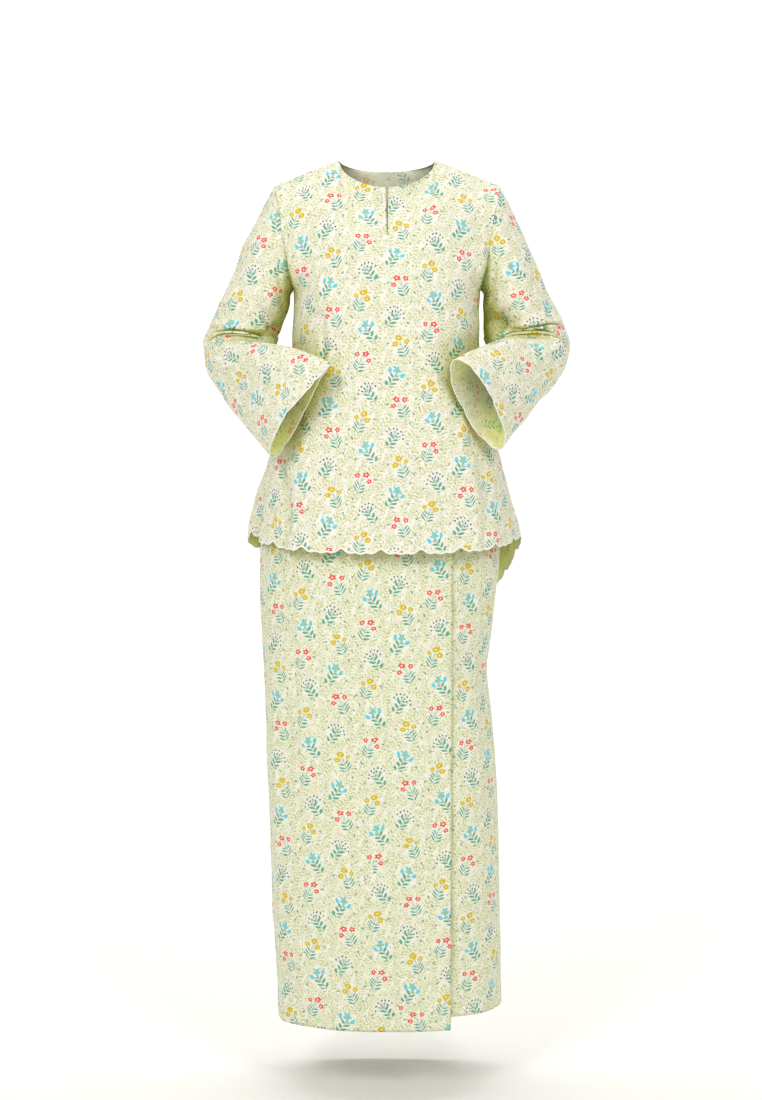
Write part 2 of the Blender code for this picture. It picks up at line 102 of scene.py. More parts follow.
# centre, side, fore, pinch, bow
LEFT_SLEEVE = [
    ((-0.1640, 0.000, -0.1225), (-0.0150, 0.000, 0.0825), (0.000, -0.058, 0.000), 0.00, 0.0),
    ((-0.1905, 0.001, -0.1695), (-0.0340, 0.000, 0.0440), (0.000, -0.059, -0.004), 0.00, 0.0),
    ((-0.2050, 0.004, -0.2130), (-0.0465, 0.000, 0.0200), (0.002, -0.058, -0.003), 0.00, 0.0),
    ((-0.2255, 0.008, -0.2600), (-0.0570, 0.002, 0.0065), (0.004, -0.057, -0.004), 0.00, 0.0),
    ((-0.2390, 0.006, -0.2960), (-0.0580, -0.002, 0.0010), (0.012, -0.053, 0.014), 0.05, 0.0),
    ((-0.2330, -0.018, -0.3240), (-0.0440, -0.022, 0.0040), (0.028, -0.043, 0.037), 0.10, 0.0),
    ((-0.1970, -0.078, -0.3505), (-0.0250, -0.022, 0.0100), (0.040, -0.030, 0.055), 0.25, 0.1),
    ((-0.1377, -0.150, -0.3921), (-0.0075, -0.0200, 0.0053), (0.0456, -0.024, 0.0710), -0.88, -0.26),
]
RIGHT_SLEEVE = [
    ((0.1640, 0.000, -0.1225), (0.0150, 0.000, 0.0825), (0.000, -0.058, 0.000), 0.00, 0.0),
    ((0.1885, 0.001, -0.1685), (0.0330, 0.000, 0.0445), (0.000, -0.059, -0.004), 0.00, 0.0),
    ((0.2030, 0.004, -0.2120), (0.0465, 0.000, 0.0200), (-0.002, -0.058, -0.003), 0.00, 0.0),
    ((0.2190, 0.008, -0.2590), (0.0605, 0.002, 0.0065), (-0.004, -0.057, -0.004), 0.00, 0.0),
    ((0.2290, 0.006, -0.2940), (0.0665, -0.002, 0.0010), (-0.012, -0.053, 0.014), 0.05, 0.0),
    ((0.2280, -0.018, -0.3190), (0.0480, -0.022, 0.0040), (-0.028, -0.043, 0.036), 0.10, 0.0),
    ((0.1950, -0.078, -0.3410), (0.0270, -0.023, 0.0110), (-0.036, -0.030, 0.050), 0.05, 0.0),
    ((0.1440, -0.142, -0.3820), (0.0210, -0.0185, 0.0085), (-0.036, -0.024, 0.069), 0.00, 0.05),
]

# ------------------------------------------------------------------ creases
# Listed for the front and back of the tunic: both ends (x, z), the half width and the depth, minus for a trough and
# plus for a ridge.
TUNIC_CREASES = {
    "front": [
        (-0.102, -0.250, -0.105, -0.350, 0.006, -0.0052), (-0.091, -0.258, -0.094, -0.340, 0.008, 0.0026),
        (-0.166, -0.470, -0.169, -0.640, 0.0070, -0.0105), (-0.154, -0.480, -0.156, -0.640, 0.007, 0.0050),
        (0.147, -0.480, 0.152, -0.640, 0.0075, -0.0070), (0.163, -0.490, 0.170, -0.640, 0.009, 0.0040),
        (-0.146, -0.190, -0.112, -0.226, 0.009, -0.0022), (-0.146, -0.212, -0.108, -0.252, 0.008, -0.0018),
        (0.144, -0.190, 0.110, -0.230, 0.009, -0.0022), (0.143, -0.216, 0.112, -0.262, 0.008, -0.0016),
        (-0.146, -0.095, -0.118, -0.135, 0.009, -0.0016), (0.148, -0.095, 0.120, -0.138, 0.009, -0.0016),
        (0.096, -0.290, 0.108, -0.400, 0.010, -0.0022), (0.118, -0.400, 0.128, -0.500, 0.010, 0.0022),
        (-0.120, -0.410, -0.134, -0.500, 0.010, 0.0020), (-0.060, -0.430, -0.066, -0.560, 0.013, -0.0018),
        (0.030, -0.440, 0.026, -0.585, 0.014, 0.0016), (0.076, -0.460, 0.082, -0.610, 0.012, -0.0022),
        (-0.022, -0.470, -0.026, -0.600, 0.012, -0.0016),
    ],
    "back": [
        (-0.147, -0.190, -0.108, -0.222, 0.010, -0.0026), (0.147, -0.190, 0.104, -0.226, 0.010, -0.0026),
        (-0.146, -0.220, -0.100, -0.262, 0.009, -0.0020), (0.146, -0.216, 0.108, -0.258, 0.009, -0.0020),
        (-0.060, -0.300, -0.072, -0.400, 0.012, -0.0026), (0.052, -0.290, 0.066, -0.395, 0.012, -0.0024),
        (-0.020, -0.310, 0.030, -0.350, 0.011, -0.0016), (0.010, -0.345, -0.034, -0.382, 0.010, -0.0014),
        (-0.120, -0.440, -0.136, -0.600, 0.011, -0.0032), (0.116, -0.440, 0.134, -0.610, 0.011, -0.0030),
        (-0.030, -0.500, -0.034, -0.690, 0.013, 0.0026), (0.040, -0.520, 0.046, -0.700, 0.012, -0.0026),
    ],
}
# On a sleeve: share of its length and turn in degrees at both ends.
SLEEVE_CREASES = {
    "left": [
        (0.440, 10, 0.428, 60, 0.0085, 0.0034), (0.428, 60, 0.440, 112, 0.0085, 0.0034),
        (0.398, 22, 0.372, 74, 0.0065, -0.0030), (0.545, 76, 0.600, 100, 0.0070, 0.0028),
        (0.405, 164, 0.505, 134, 0.0240, -0.0200), (0.330, 96, 0.400, 146, 0.0080, -0.0040),
        (0.255, 120, 0.330, 160, 0.0080, -0.0034), (0.200, 96, 0.275, 140, 0.0090, 0.0024),
        (0.520, 210, 0.505, 290, 0.0090, 0.0034), (0.405, 215, 0.395, 280, 0.0090, 0.0032),
        (0.120, 60, 0.250, 96, 0.0100, -0.0026), (0.100, 300, 0.220, 262, 0.0100, -0.0026),
        (0.060, 100, 0.150, 128, 0.0090, -0.0024), (0.240, 30, 0.330, 62, 0.0110, -0.0022),
        (0.700, 60, 0.880, 74, 0.0090, -0.0026), (0.720, 330, 0.930, 320, 0.0100, 0.0022),
        (0.640, 20, 0.860, 12, 0.0110, -0.0026), (0.780, 214, 0.980, 222, 0.0100, -0.0026),
        (0.660, 44, 0.820, 40, 0.0110, 0.0020), (0.800, 160, 0.990, 150, 0.0090, 0.0026),
        (0.780, 350, 0.960, 356, 0.0100, -0.0024), (0.860, 84, 0.990, 92, 0.0090, 0.0022),
    ],
    "right": [
        (0.425, 4, 0.415, 60, 0.0085, 0.0036), (0.415, 60, 0.428, 106, 0.0085, 0.0036),
        (0.370, 148, 0.460, 114, 0.0260, -0.0240), (0.386, 30, 0.366, 80, 0.0065, -0.0028),
        (0.330, 100, 0.400, 146, 0.0080, -0.0040), (0.250, 122, 0.330, 162, 0.0080, -0.0034),
        (0.200, 98, 0.275, 142, 0.0090, 0.0024), (0.545, -14, 0.600, -40, 0.0070, 0.0030),
        (0.520, 212, 0.506, 292, 0.0090, 0.0034), (0.405, 212, 0.396, 276, 0.0090, 0.0032),
        (0.120, 62, 0.250, 100, 0.0100, -0.0026), (0.100, 300, 0.230, 258, 0.0100, -0.0026),
        (0.060, 100, 0.150, 130, 0.0090, -0.0024), (0.240, 26, 0.330, 60, 0.0110, -0.0022),
        (0.660, 40, 0.860, 34, 0.0110, -0.0030), (0.720, 340, 0.930, 332, 0.0100, 0.0024),
        (0.680, 62, 0.900, 60, 0.0110, 0.0022), (0.760, 18, 0.960, 12, 0.0100, -0.0022),
        (0.780, 216, 0.980, 226, 0.0100, -0.0026), (0.800, 158, 0.990, 148, 0.0090, 0.0028),
    ],
}
# Sharp folds of the bent elbow: points of share and turn, width, trough, ridge.
SLEEVE_TUCKS = {
    "left": [
        ([(0.560, 12), (0.522, 31), (0.492, 47), (0.474, 66), (0.470, 82), (0.482, 97), (0.512, 109), (0.550, 121)],
         0.0036, 0.0105, 0.0066),
        ([(0.600, -4), (0.560, 14), (0.522, 32), (0.500, 44)], 0.0042, 0.0080, 0.0050),
        ([(0.530, 116), (0.510, 103), (0.502, 90), (0.504, 78), (0.514, 66), (0.534, 50), (0.566, 32)],
         0.0030, 0.0085, 0.0046),
        ([(0.345, 100), (0.380, 111), (0.432, 124), (0.520, 138)], 0.0055, 0.0056, 0.0036),
        ([(0.500, 186), (0.470, 206), (0.455, 240), (0.462, 280), (0.490, 318)], 0.0060, 0.0070, 0.0050),
        ([(0.420, 226), (0.410, 258), (0.418, 292)], 0.0055, 0.0040, 0.0030),
    ],
    "right": [
        ([(0.540, 124), (0.500, 104), (0.480, 86), (0.474, 73), (0.492, 62), (0.530, 51), (0.565, 38), (0.600, 18)],
         0.0036, 0.0105, 0.0066),
        ([(0.466, 98), (0.454, 81), (0.446, 66), (0.443, 48), (0.454, 18)], 0.0034, 0.0064, 0.0044),
        ([(0.566, 60), (0.592, 44), (0.634, 16)], 0.0034, 0.0095, 0.0036),
        ([(0.345, 100), (0.380, 112), (0.432, 126), (0.520, 140)], 0.0055, 0.0056, 0.0036),
        ([(0.500, 190), (0.470, 210), (0.456, 244), (0.464, 284), (0.492, 320)], 0.0060, 0.0070, 0.0050),
        ([(0.420, 228), (0.411, 260), (0.420, 294)], 0.0055, 0.0040, 0.0030),
    ],
}
SKIRT_CREASES = {
    "front": [
        (-0.170, -0.640, -0.166, -1.020, 0.010, -0.0026), (-0.150, -0.700, -0.150, -1.250, 0.014, 0.0020),
        (-0.070, -0.640, -0.076, -0.900, 0.016, -0.0018), (0.020, -0.900, 0.014, -1.360, 0.018, 0.0018),
        (-0.110, -0.950, -0.112, -1.380, 0.016, -0.0020), (0.066, -0.760, 0.074, -1.120, 0.014, -0.0016),
        (0.128, -0.640, 0.126, -0.760, 0.010, -0.0022), (0.150, -0.770, 0.110, -0.822, 0.010, -0.0024),
        (0.154, -0.815, 0.118, -0.850, 0.009, -0.0018), (0.136, -0.900, 0.140, -1.340, 0.012, 0.0016),
        (-0.186, -0.740, -0.120, -0.792, 0.012, -0.0014), (-0.040, -1.120, -0.036, -1.385, 0.014, -0.0016),
    ],
    "back": [
        (-0.100, -0.760, -0.020, -0.800, 0.012, -0.0022), (0.110, -0.752, 0.030, -0.800, 0.012, -0.0022),
        (-0.130, -0.800, -0.060, -0.828, 0.010, -0.0016), (0.006, -0.860, 0.000, -1.340, 0.018, -0.0034),
        (-0.080, -0.900, -0.086, -1.380, 0.015, 0.0024), (0.084, -0.900, 0.090, -1.370, 0.015, 0.0024),
        (-0.140, -0.960, -0.142, -1.370, 0.012, -0.0024), (0.146, -0.960, 0.150, -1.360, 0.012, -0.0022),
    ],
}


# ------------------------------------------------------------------ surfaces
def ease(t):
    t = np.clip(t, 0.0, 1.0)
    return t * t * (3.0 - 2.0 * t)


def read(table, z, column):
    pos = np.array([row[0] for row in table])
    val = np.array([row[column] for row in table])
    slope = np.empty(len(pos))
    for i in range(len(pos)):
        lo, hi = max(i - 1, 0), min(i + 1, len(pos) - 1)
        slope[i] = (val[hi] - val[lo]) / (pos[hi] - pos[lo])
    z = np.clip(np.asarray(z, float), pos[-1], pos[0])
    k = np.clip(np.searchsorted(-pos, -z, side="right") - 1, 0, len(pos) - 2)
    step = pos[k + 1] - pos[k]
    t = (z - pos[k]) / step
    return ((2 * t**3 - 3 * t**2 + 1) * val[k] + (t**3 - 2 * t**2 + t) * slope[k] * step
            + (3 * t**2 - 2 * t**3) * val[k + 1] + (t**3 - t**2) * slope[k + 1] * step)


def fold_depth(folds, angle, z):
    total = np.zeros(np.broadcast(angle, z).shape)
    for at, width, depth, top_z, full_z in folds:
        away = (angle - at + 180.0) % 360.0 - 180.0
        total = total + depth * np.exp(-(away / width) ** 2) * ease((top_z - z) / (top_z - full_z))
    return total


def body(table, folds, angle, z, lift=0.0):
    angle, z = np.broadcast_arrays(np.asarray(angle, float), np.asarray(z, float))
    a = np.radians(angle)
    c, s = np.cos(a), np.sin(a)
    half = np.where(c > 0, read(table, z, 1), read(table, z, 2))
    reach = np.where(s > 0, read(table, z, 3), read(table, z, 4))
    x = -np.sign(c) * np.abs(c) ** (2 / SQUARE) * half
    y = -np.sign(s) * np.abs(s) ** (2 / SQUARE) * reach
    ox, oy = -c / half, -s / reach
    n = np.hypot(ox, oy)
    push = (fold_depth(folds, angle, z) + lift) / n
    return np.stack([x + ox * push, y + oy * push, z * np.ones_like(x)], -1)


def angle_at(table, x, z):
    half = np.where(x < 0, read(table, z, 1), read(table, z, 2))
    c = np.minimum(1.0, np.abs(x) / half) ** (SQUARE / 2)
    return np.degrees(np.arccos(np.where(x < 0, c, -c)))


def hem_z(side, angle):
    return HEM_SIDE_Z - HEM_DROP[side] * np.abs(np.sin(np.radians(angle)))


def tunic_upper(side, angle, share):
    c, s = np.cos(np.radians(angle)), np.abs(np.sin(np.radians(angle)))
    u = -np.sign(c) * np.abs(c) ** (2 / SQUARE)
    way = -1.0 if side == "front" else 1.0
    neck_u = NECK_HALF / SHOULDER_HALF
    inside = np.abs(u) < neck_u
    bow = np.where(inside, np.sqrt(np.clip(1 - (u / neck_u) ** 2, 0, 1)), 0.0)
    top = np.where(inside, -NECK_DROP[side] * bow, -SHOULDER_DROP * (np.abs(u) - neck_u) / (1 - neck_u))
    z = top + (UNDERARM_Z - top) * share
    # below its edge the cloth rounds off the corner of the neck
    q = 1 - (u / neck_u) ** 2
    soft = 0.16 * np.clip((top - z) / 0.05, 0, 1) + 1e-6
    bow = np.sqrt(0.5 * (q + np.sqrt(q * q + 4 * soft * soft)))
    start = NECK_REACH[side] * bow
    foot = np.clip((z - UNDERARM_Z) / (-SHOULDER_DROP - UNDERARM_Z), 0, 1)
    half = UNDERARM_HALF + (SHOULDER_HALF - UNDERARM_HALF) * foot
    edge = ARMHOLE_REACH * np.sqrt(np.clip(1 - (2 * foot - 1) ** 2, 0, 1))
    low = ease((-0.120 - z) / 0.085)
    open_shape, round_shape = 1 - np.abs(u) ** 2.6, s ** (2 / SQUARE)
    shape = open_shape * (1 - low) + round_shape * low
    near = 2.6 + 4.0 * np.exp(-(1 - foot) / 0.10)
    rim = np.abs(u) ** near * (1 - low) + np.abs(u) ** (10 + 50 * np.exp(-foot / 0.06)) * low
    full = read(TUNIC, z, 3 if side == "front" else 4) * shape
    reach = 0.060 + 0.075 * bow
    t = np.minimum(1.0, (top - z) / reach)
    lean = (np.sqrt(np.clip(1 - (1 - t) ** 2, 0, 1)) * (1 - bow)
            + (1 - np.clip(1 - t, 0, 1) ** 1.6) * bow)
    return np.stack([u * half, way * (start + (full - start) * lean + edge * rim), z], -1)


def scallop(s):
    """Share of the full scallop depth at s, counted in scallops."""
    along = [0, .045, .11, .22, .36, .50, .64, .78, .89, .955, 1]
    depth = [0, .16, .55, .90, .74, 1.0, .74, .90, .55, .16, 0]
    slope = np.gradient(depth, along)
    f = np.mod(s, 1.0)
    k = np.clip(np.searchsorted(along, f, side="right") - 1, 0, len(along) - 2)
    a, d, m = np.array(along), np.array(depth), slope
    h = a[k + 1] - a[k]
    t = (f - a[k]) / h
    return ((2 * t**3 - 3 * t**2 + 1) * d[k] + (t**3 - 2 * t**2 + t) * m[k] * h
            + (3 * t**2 - 2 * t**3) * d[k + 1] + (t**3 - t**2) * m[k + 1] * h)


def run_length(points):
    step = np.linalg.norm(np.diff(points, axis=0), axis=1)
    return np.concatenate([[0.0], np.cumsum(step)])


def grid_normals(P, closed=False):
    """Outward unit normals of a grid whose rows run down and columns run left to right as seen from outside."""
    if closed:
        dc = np.roll(P, -1, 1) - np.roll(P, 1, 1)
    else:
        dc = np.gradient(P, axis=1)
    dr = np.gradient(P, axis=0)
    n = np.cross(dr, dc)
    return n / np.maximum(np.linalg.norm(n, axis=-1, keepdims=True), 1e-12)


def segment_push(a, b, rows):
    """Sum of crease depths over points (a, b) in the crease table's own plane."""
    total = np.zeros_like(a)
    for a0, b0, a1, b1, width, depth in rows:
        da, db = a1 - a0, b1 - b0
        length2 = da * da + db * db
        t = ((a - a0) * da + (b - b0) * db) / length2
        inside = np.clip(t, 0, 1)
        # a crease bows a little and dies away at both ends
        sag = 0.05 * math.sqrt(length2) * np.sin(np.pi * inside) * (1 if depth < 0 else -1)
        na, nb = -db / math.sqrt(length2), da / math.sqrt(length2)
        d2 = (a - a0 - inside * da - sag * na) ** 2 + (b - b0 - inside * db - sag * nb) ** 2
        ends = np.sin(np.pi * np.clip(0.10 + 0.80 * inside, 0, 1)) ** 0.8
        total += depth * ends * np.exp(-d2 / width**2)
    return total


def tuck_push(a, b, line, width, trough, ridge):
    """A sharp fold: a narrow trough along a bent line, with the cloth past it standing up."""
    line = np.array(line)
    steps = np.hypot(*np.diff(line, axis=0).T)
    start = np.concatenate([[0.0], np.cumsum(steps)])
    best = np.full(a.shape, 9.0)
    signed = np.zeros_like(a)
    at = np.zeros_like(a)
    for k in range(len(steps)):
        (a0, b0), (a1, b1) = line[k], line[k + 1]
        t = np.clip(((a - a0) * (a1 - a0) + (b - b0) * (b1 - b0)) / steps[k] ** 2, 0, 1)
        da, db = a - a0 - t * (a1 - a0), b - b0 - t * (b1 - b0)
        d = np.hypot(da, db)
        near = d < best
        best = np.where(near, d, best)
        signed = np.where(near, np.where(da > 0, d, -d), signed)
        at = np.where(near, (start[k] + t * steps[k]) / start[-1], at)
    fade = np.sin(np.pi * np.clip(0.04 + 0.92 * at, 0, 1)) ** 0.7
    return fade * (ridge * np.exp(-((signed - 1.25 * width) / (1.6 * width)) ** 2)
                   - trough * np.exp(-((signed + 0.45 * width) / width) ** 2))


def ripple(a, b, seed, size=0.00045):
    """Slow unevenness of worn cotton, about a millimetre."""
    rng = np.random.RandomState(seed)
    total = np.zeros_like(a)
    for _ in range(14):
        turn = rng.uniform(0, math.pi)
        wave = rng.uniform(0.045, 0.120)
        phase = rng.uniform(0, 2 * math.pi)
        total += size * rng.uniform(0.5, 1.3) * np.sin(2 * math.pi * (a * math.cos(turn) + b * math.sin(turn)) / wave + phase)
    return total


# ------------------------------------------------------------------ grain
def flatten(P, closed=False, rows=44, columns=40, grain=0.5, down_to=1.0):
    """Lay a grid of points flat with the least stretch, in metres; the grain runs down the column at share `grain`."""
    if closed:
        P = np.concatenate([P, P[:, :1]], 1)
    R, C = P.shape[:2]
    ri = np.unique(np.round(np.linspace(0, R - 1, rows)).astype(int))
    ci = np.unique(np.round(np.linspace(0, C - 1, columns)).astype(int))
    Q = P[np.ix_(ri, ci)]
    h, w = Q.shape[:2]
    r, c = np.meshgrid(np.arange(h - 1), np.arange(w - 1), indexing="ij")
    r, c = r.ravel(), c.ravel()
    faces = np.stack([r * w + c, (r + 1) * w + c, (r + 1) * w + c + 1, r * w + c + 1], 1)
    mesh = bpy.data.meshes.new("flat_pattern")
    mesh.from_pydata(Q.reshape(-1, 3).tolist(), [], faces.tolist())
    mesh.uv_layers.new(name="grain")
    obj = bpy.data.objects.new("flat_pattern", mesh)
    bpy.context.scene.collection.objects.link(obj)
    for other in bpy.context.scene.objects:
        other.select_set(False)
    obj.select_set(True)
    bpy.context.view_layer.objects.active = obj
    bpy.ops.object.mode_set(mode="EDIT")
    bpy.ops.mesh.select_all(action="SELECT")
    bpy.ops.uv.unwrap(method="MINIMUM_STRETCH", margin=0.0, iterations=25, no_flip=True)
    bpy.ops.object.mode_set(mode="OBJECT")
    uv = np.empty(2 * len(mesh.loops), np.float32)
    mesh.uv_layers["grain"].data.foreach_get("uv", uv)
    corner = np.empty(len(mesh.loops), np.int32)
    mesh.loops.foreach_get("vertex_index", corner)
    F = np.zeros((h * w, 2))
    F[corner] = uv.reshape(-1, 2)
    F = F.reshape(h, w, 2)
    bpy.data.objects.remove(obj)
    bpy.data.meshes.remove(mesh)
    real = np.linalg.norm(np.diff(Q, axis=1), axis=2).sum() + np.linalg.norm(np.diff(Q, axis=0), axis=2).sum()
    drawn = np.linalg.norm(np.diff(F, axis=1), axis=2).sum() + np.linalg.norm(np.diff(F, axis=0), axis=2).sum()
    F = F * (real / drawn)
    mid, low = int(round((w - 1) * grain)), int(round((h - 1) * down_to))
    up = F[0, mid] - F[low, mid]
    turn = math.pi / 2 - math.atan2(up[1], up[0])
    spin = np.array([[math.cos(turn), -math.sin(turn)], [math.sin(turn), math.cos(turn)]])
    F = (F - F[h // 3, mid]) @ spin.T
    if np.mean(F[:, -1, 0] - F[:, 0, 0]) < 0:
        F[..., 0] *= -1

    def spread(A):
        wide = np.stack([[np.interp(np.arange(C), ci, A[k, :, d]) for k in range(h)] for d in range(A.shape[2])], -1)
        return np.stack([[np.interp(np.arange(R), ri, wide[:, c, d]) for c in range(C)] for d in range(A.shape[2])], -1).transpose(1, 0, 2)

    # what the coarser grid cuts off is laid down along its own directions
    solid = np.stack([np.gradient(Q, axis=0), np.gradient(Q, axis=1)], -1)
    laid = np.stack([np.gradient(F, axis=0), np.gradient(F, axis=1)], -1)
    turned = spread((laid @ np.linalg.pinv(solid)).reshape(h, w, 6)).reshape(R, C, 2, 3)
    return spread(F) + (turned @ (P - spread(Q))[..., None])[..., 0]


def hem_grain(F, drop):
    """Carry flat coordinates on down over the scalloped rows below the grid."""
    down = F[-1] - F[-3]
    down = down / np.linalg.norm(down, axis=1, keepdims=True)
    more = [F[-1] + down * (drop * k / 3)[:, None] for k in (1, 2, 3)]
    return np.concatenate([F, np.array(more)])


# ------------------------------------------------------------------ mesh making
def add_mesh(name, verts, faces, loop_uv, mats, smooth=True):
    mesh = bpy.data.meshes.new(name)
    mesh.from_pydata(verts.tolist(), [], faces.tolist())
    layer = mesh.uv_layers.new(name="grain")
    layer.data.foreach_set("uv", np.ascontiguousarray(loop_uv, dtype=np.float32).ravel())
    for m in mats:
        mesh.materials.append(m)
    if smooth:
        mesh.shade_smooth()
    mesh.update()
    obj = bpy.data.objects.new(name, mesh)
    bpy.context.scene.collection.objects.link(obj)
    return obj


def cloth(name, P, UV, mats, closed=False, holes=None, thickness=CLOTH):
    """Thin shell through a grid of points; UV has one more column when closed."""
    R, C = P.shape[:2]
    last = C if closed else C - 1
    r, c = np.meshgrid(np.arange(R - 1), np.arange(last), indexing="ij")
    r, c = r.ravel(), c.ravel()
    if holes is not None:
        keep = ~holes[r, c]
        r, c = r[keep], c[keep]
    d = (c + 1) % C
    faces = np.stack([r * C + c, (r + 1) * C + c, (r + 1) * C + d, r * C + d], 1)
    e = c + 1
    uv = np.stack([UV[r, c], UV[r + 1, c], UV[r + 1, e], UV[r, e]], 1)
    verts = P.reshape(-1, 3)
    used = np.unique(faces)
    remap = np.full(len(verts), -1)
    remap[used] = np.arange(len(used))
    obj = add_mesh(name, verts[used], remap[faces], uv.reshape(-1, 2), mats)
    wall = obj.modifiers.new("wall", "SOLIDIFY")
    wall.thickness = thickness
    wall.offset = 1.0
    wall.material_offset = 1
    wall.material_offset_rim = 0
    return obj


def satin(name, edge, inward, normal, mat, closed, half_wide=0.0017, half_thick=0.00085):
    """Raised band of satin stitch that follows a cloth edge."""
    count = len(edge)
    ring = 10
    a = np.arange(ring) * 2 * math.pi / ring
    ca = np.sign(np.cos(a)) * np.abs(np.cos(a)) ** 0.8
    sa = np.sign(np.sin(a)) * np.abs(np.sin(a)) ** 0.8
    centre = edge + inward * (half_wide * 0.72) + normal * (CLOTH * 0.5)
    P = (centre[:, None] + inward[:, None] * (ca * half_wide)[None, :, None]
         + normal[:, None] * (sa * half_thick)[None, :, None])
    run = run_length(np.vstack([edge, edge[:1]]) if closed else edge)
    last = count if closed else count - 1
    i, k = np.meshgrid(np.arange(last), np.arange(ring), indexing="ij")
    i, k = i.ravel(), k.ravel()
    j, m = (i + 1) % count, (k + 1) % ring
    faces = np.stack([i * ring + k, j * ring + k, j * ring + m, i * ring + m], 1)
    u0, u1 = run[i], run[np.minimum(i + 1, len(run) - 1)]
    v0, v1 = k / ring, (k + 1) / ring
    uv = np.stack([np.stack([u0, v0], 1), np.stack([u1, v0], 1),
                   np.stack([u1, v1], 1), np.stack([u0, v1], 1)], 1)
    verts = P.reshape(-1, 3)
    if not closed:
        ends = [list(range(ring))[::-1], [(count - 1) * ring + q for q in range(ring)]]
        mesh_faces = faces.tolist() + ends
        loop_uv = np.concatenate([uv.reshape(-1, 2), np.zeros((2 * ring, 2))])
    else:
        mesh_faces = faces.tolist()
        loop_uv = uv.reshape(-1, 2)
    mesh = bpy.data.meshes.new(name)
    mesh.from_pydata(verts.tolist(), [], mesh_faces)
    layer = mesh.uv_layers.new(name="grain")
    layer.data.foreach_set("uv", loop_uv.astype(np.float32).ravel())
    mesh.materials.append(mat)
    mesh.shade_smooth()
    obj = bpy.data.objects.new(name, mesh)
    bpy.context.scene.collection.objects.link(obj)
    # faces must look outward whichever way the edge runs
    import bmesh
    bm = bmesh.new()
    bm.from_mesh(mesh)
    bmesh.ops.recalc_face_normals(bm, faces=bm.faces)
    bm.to_mesh(mesh)
    bm.free()
    return obj


# ------------------------------------------------------------------ materials
def lin(r, g, b):
    def f(v):
        v /= 255.0
        return v / 12.92 if v <= 0.04045 else ((v + 0.055) / 1.055) ** 2.4
    return (f(r), f(g), f(b), 1.0)


class Nodes:
    def __init__(self, tree):
        self.tree = tree

    def add(self, kind, **props):
        node = self.tree.nodes.new(kind)
        for key, value in props.items():
            setattr(node, key, value)
        return node

    def put(self, socket, value):
        if isinstance(value, bpy.types.NodeSocket):
            self.tree.links.new(value, socket)
        else:
            socket.default_value = value

    def math(self, op, a, b=None, c=None, clamp=False):
        node = self.add("ShaderNodeMath", operation=op, use_clamp=clamp)
        for socket, value in zip(node.inputs, (a, b, c)):
            if value is not None:
                self.put(socket, value)
        return node.outputs[0]

    def place(self, vector, x, y, turn=0.0, sx=1.0, sy=None):
        """Vector in a motif's own frame: moved, turned and scaled back."""
        node = self.add("ShaderNodeMapping", vector_type="TEXTURE")
        self.put(node.inputs["Vector"], vector)
        node.inputs["Location"].default_value = (x, y, 0)
        node.inputs["Rotation"].default_value = (0, 0, math.radians(turn))
        node.inputs["Scale"].default_value = (sx, sy or sx, 1)
        cut = self.add("ShaderNodeSeparateXYZ")
        self.put(cut.inputs[0], node.outputs[0])
        return cut.outputs[0], cut.outputs[1]

    def mask(self, inside, sharp):
        return self.math("MULTIPLY_ADD", inside, sharp, 0.5, clamp=True)

    def blade(self, x, y, sharp):
        """Leaf from 0 to 1 along x, one unit half wide at its middle."""
        hump = self.math("MULTIPLY", self.math("MULTIPLY_ADD", x, -4.0, 4.0), x)
        return self.mask(self.math("SUBTRACT", hump, self.math("ABSOLUTE", y)), sharp)

    def leaf(self, vector, x, y, turn, length, width):
        return self.blade(*self.place(vector, x, y, turn, length, width / 2), width / 2 / 0.5)

    def polar(self, x, y):
        r = self.math("SQRT", self.math("ADD", self.math("MULTIPLY", x, x), self.math("MULTIPLY", y, y)))
        return r, self.math("ARCTAN2", y, x)

    def spin(self, x, y, count):
        """Fold the plane into one sector of count, centred on +x."""
        r, a = self.polar(x, y)
        step = 2 * math.pi / count
        turns = self.math("FRACT", self.math("MULTIPLY_ADD", a, 1 / step, 0.5))
        back = self.math("MULTIPLY", self.math("SUBTRACT", turns, 0.5), step)
        return (self.math("MULTIPLY", r, self.math("COSINE", back)),
                self.math("MULTIPLY", r, self.math("SINE", back)))

    def rosette(self, vector, x, y, turn, count, inner, outer, width):
        """Ring of leaves that point away from a centre."""
        px, py = self.place(vector, x, y, turn)
        qx, qy = self.spin(px, py, count)
        t = self.math("MULTIPLY_ADD", qx, 1 / (outer - inner), -inner / (outer - inner))
        return self.blade(t, self.math("DIVIDE", qy, width / 2), width / 2 / 0.5)

    def bloom(self, x, y, radius, petals, notch=0.16):
        """Open flower: its petals, and how far a point is from its centre."""
        r, a = self.polar(x, y)
        rim = self.math("MULTIPLY_ADD", self.math("COSINE", self.math("MULTIPLY", a, float(petals))), notch * radius,
                        radius * (1 - notch))
        return self.mask(self.math("SUBTRACT", rim, r), 2.0), r

    def disc(self, r, radius):
        return self.mask(self.math("SUBTRACT", radius, r), 2.0)

    def both(self, a, b):
        return self.math("MAXIMUM", a, b)

    def blend(self, fac, under, over):
        node = self.add("ShaderNodeMix", data_type="RGBA")
        self.put(node.inputs[0], fac)
        self.put(node.inputs[6], under)
        self.put(node.inputs[7], over)
        return node.outputs[2]


CREAM, SAGE, SAGE_DARK = lin(249, 246, 236), lin(223, 225, 192), lin(210, 214, 164)
TEAL, TEAL_PALE, INK = lin(104, 172, 156), lin(160, 196, 176), lin(94, 138, 134)
CORAL, SKY, MUSTARD, NAVY = lin(242, 90, 84), lin(112, 212, 236), lin(222, 190, 34), lin(70, 98, 146)


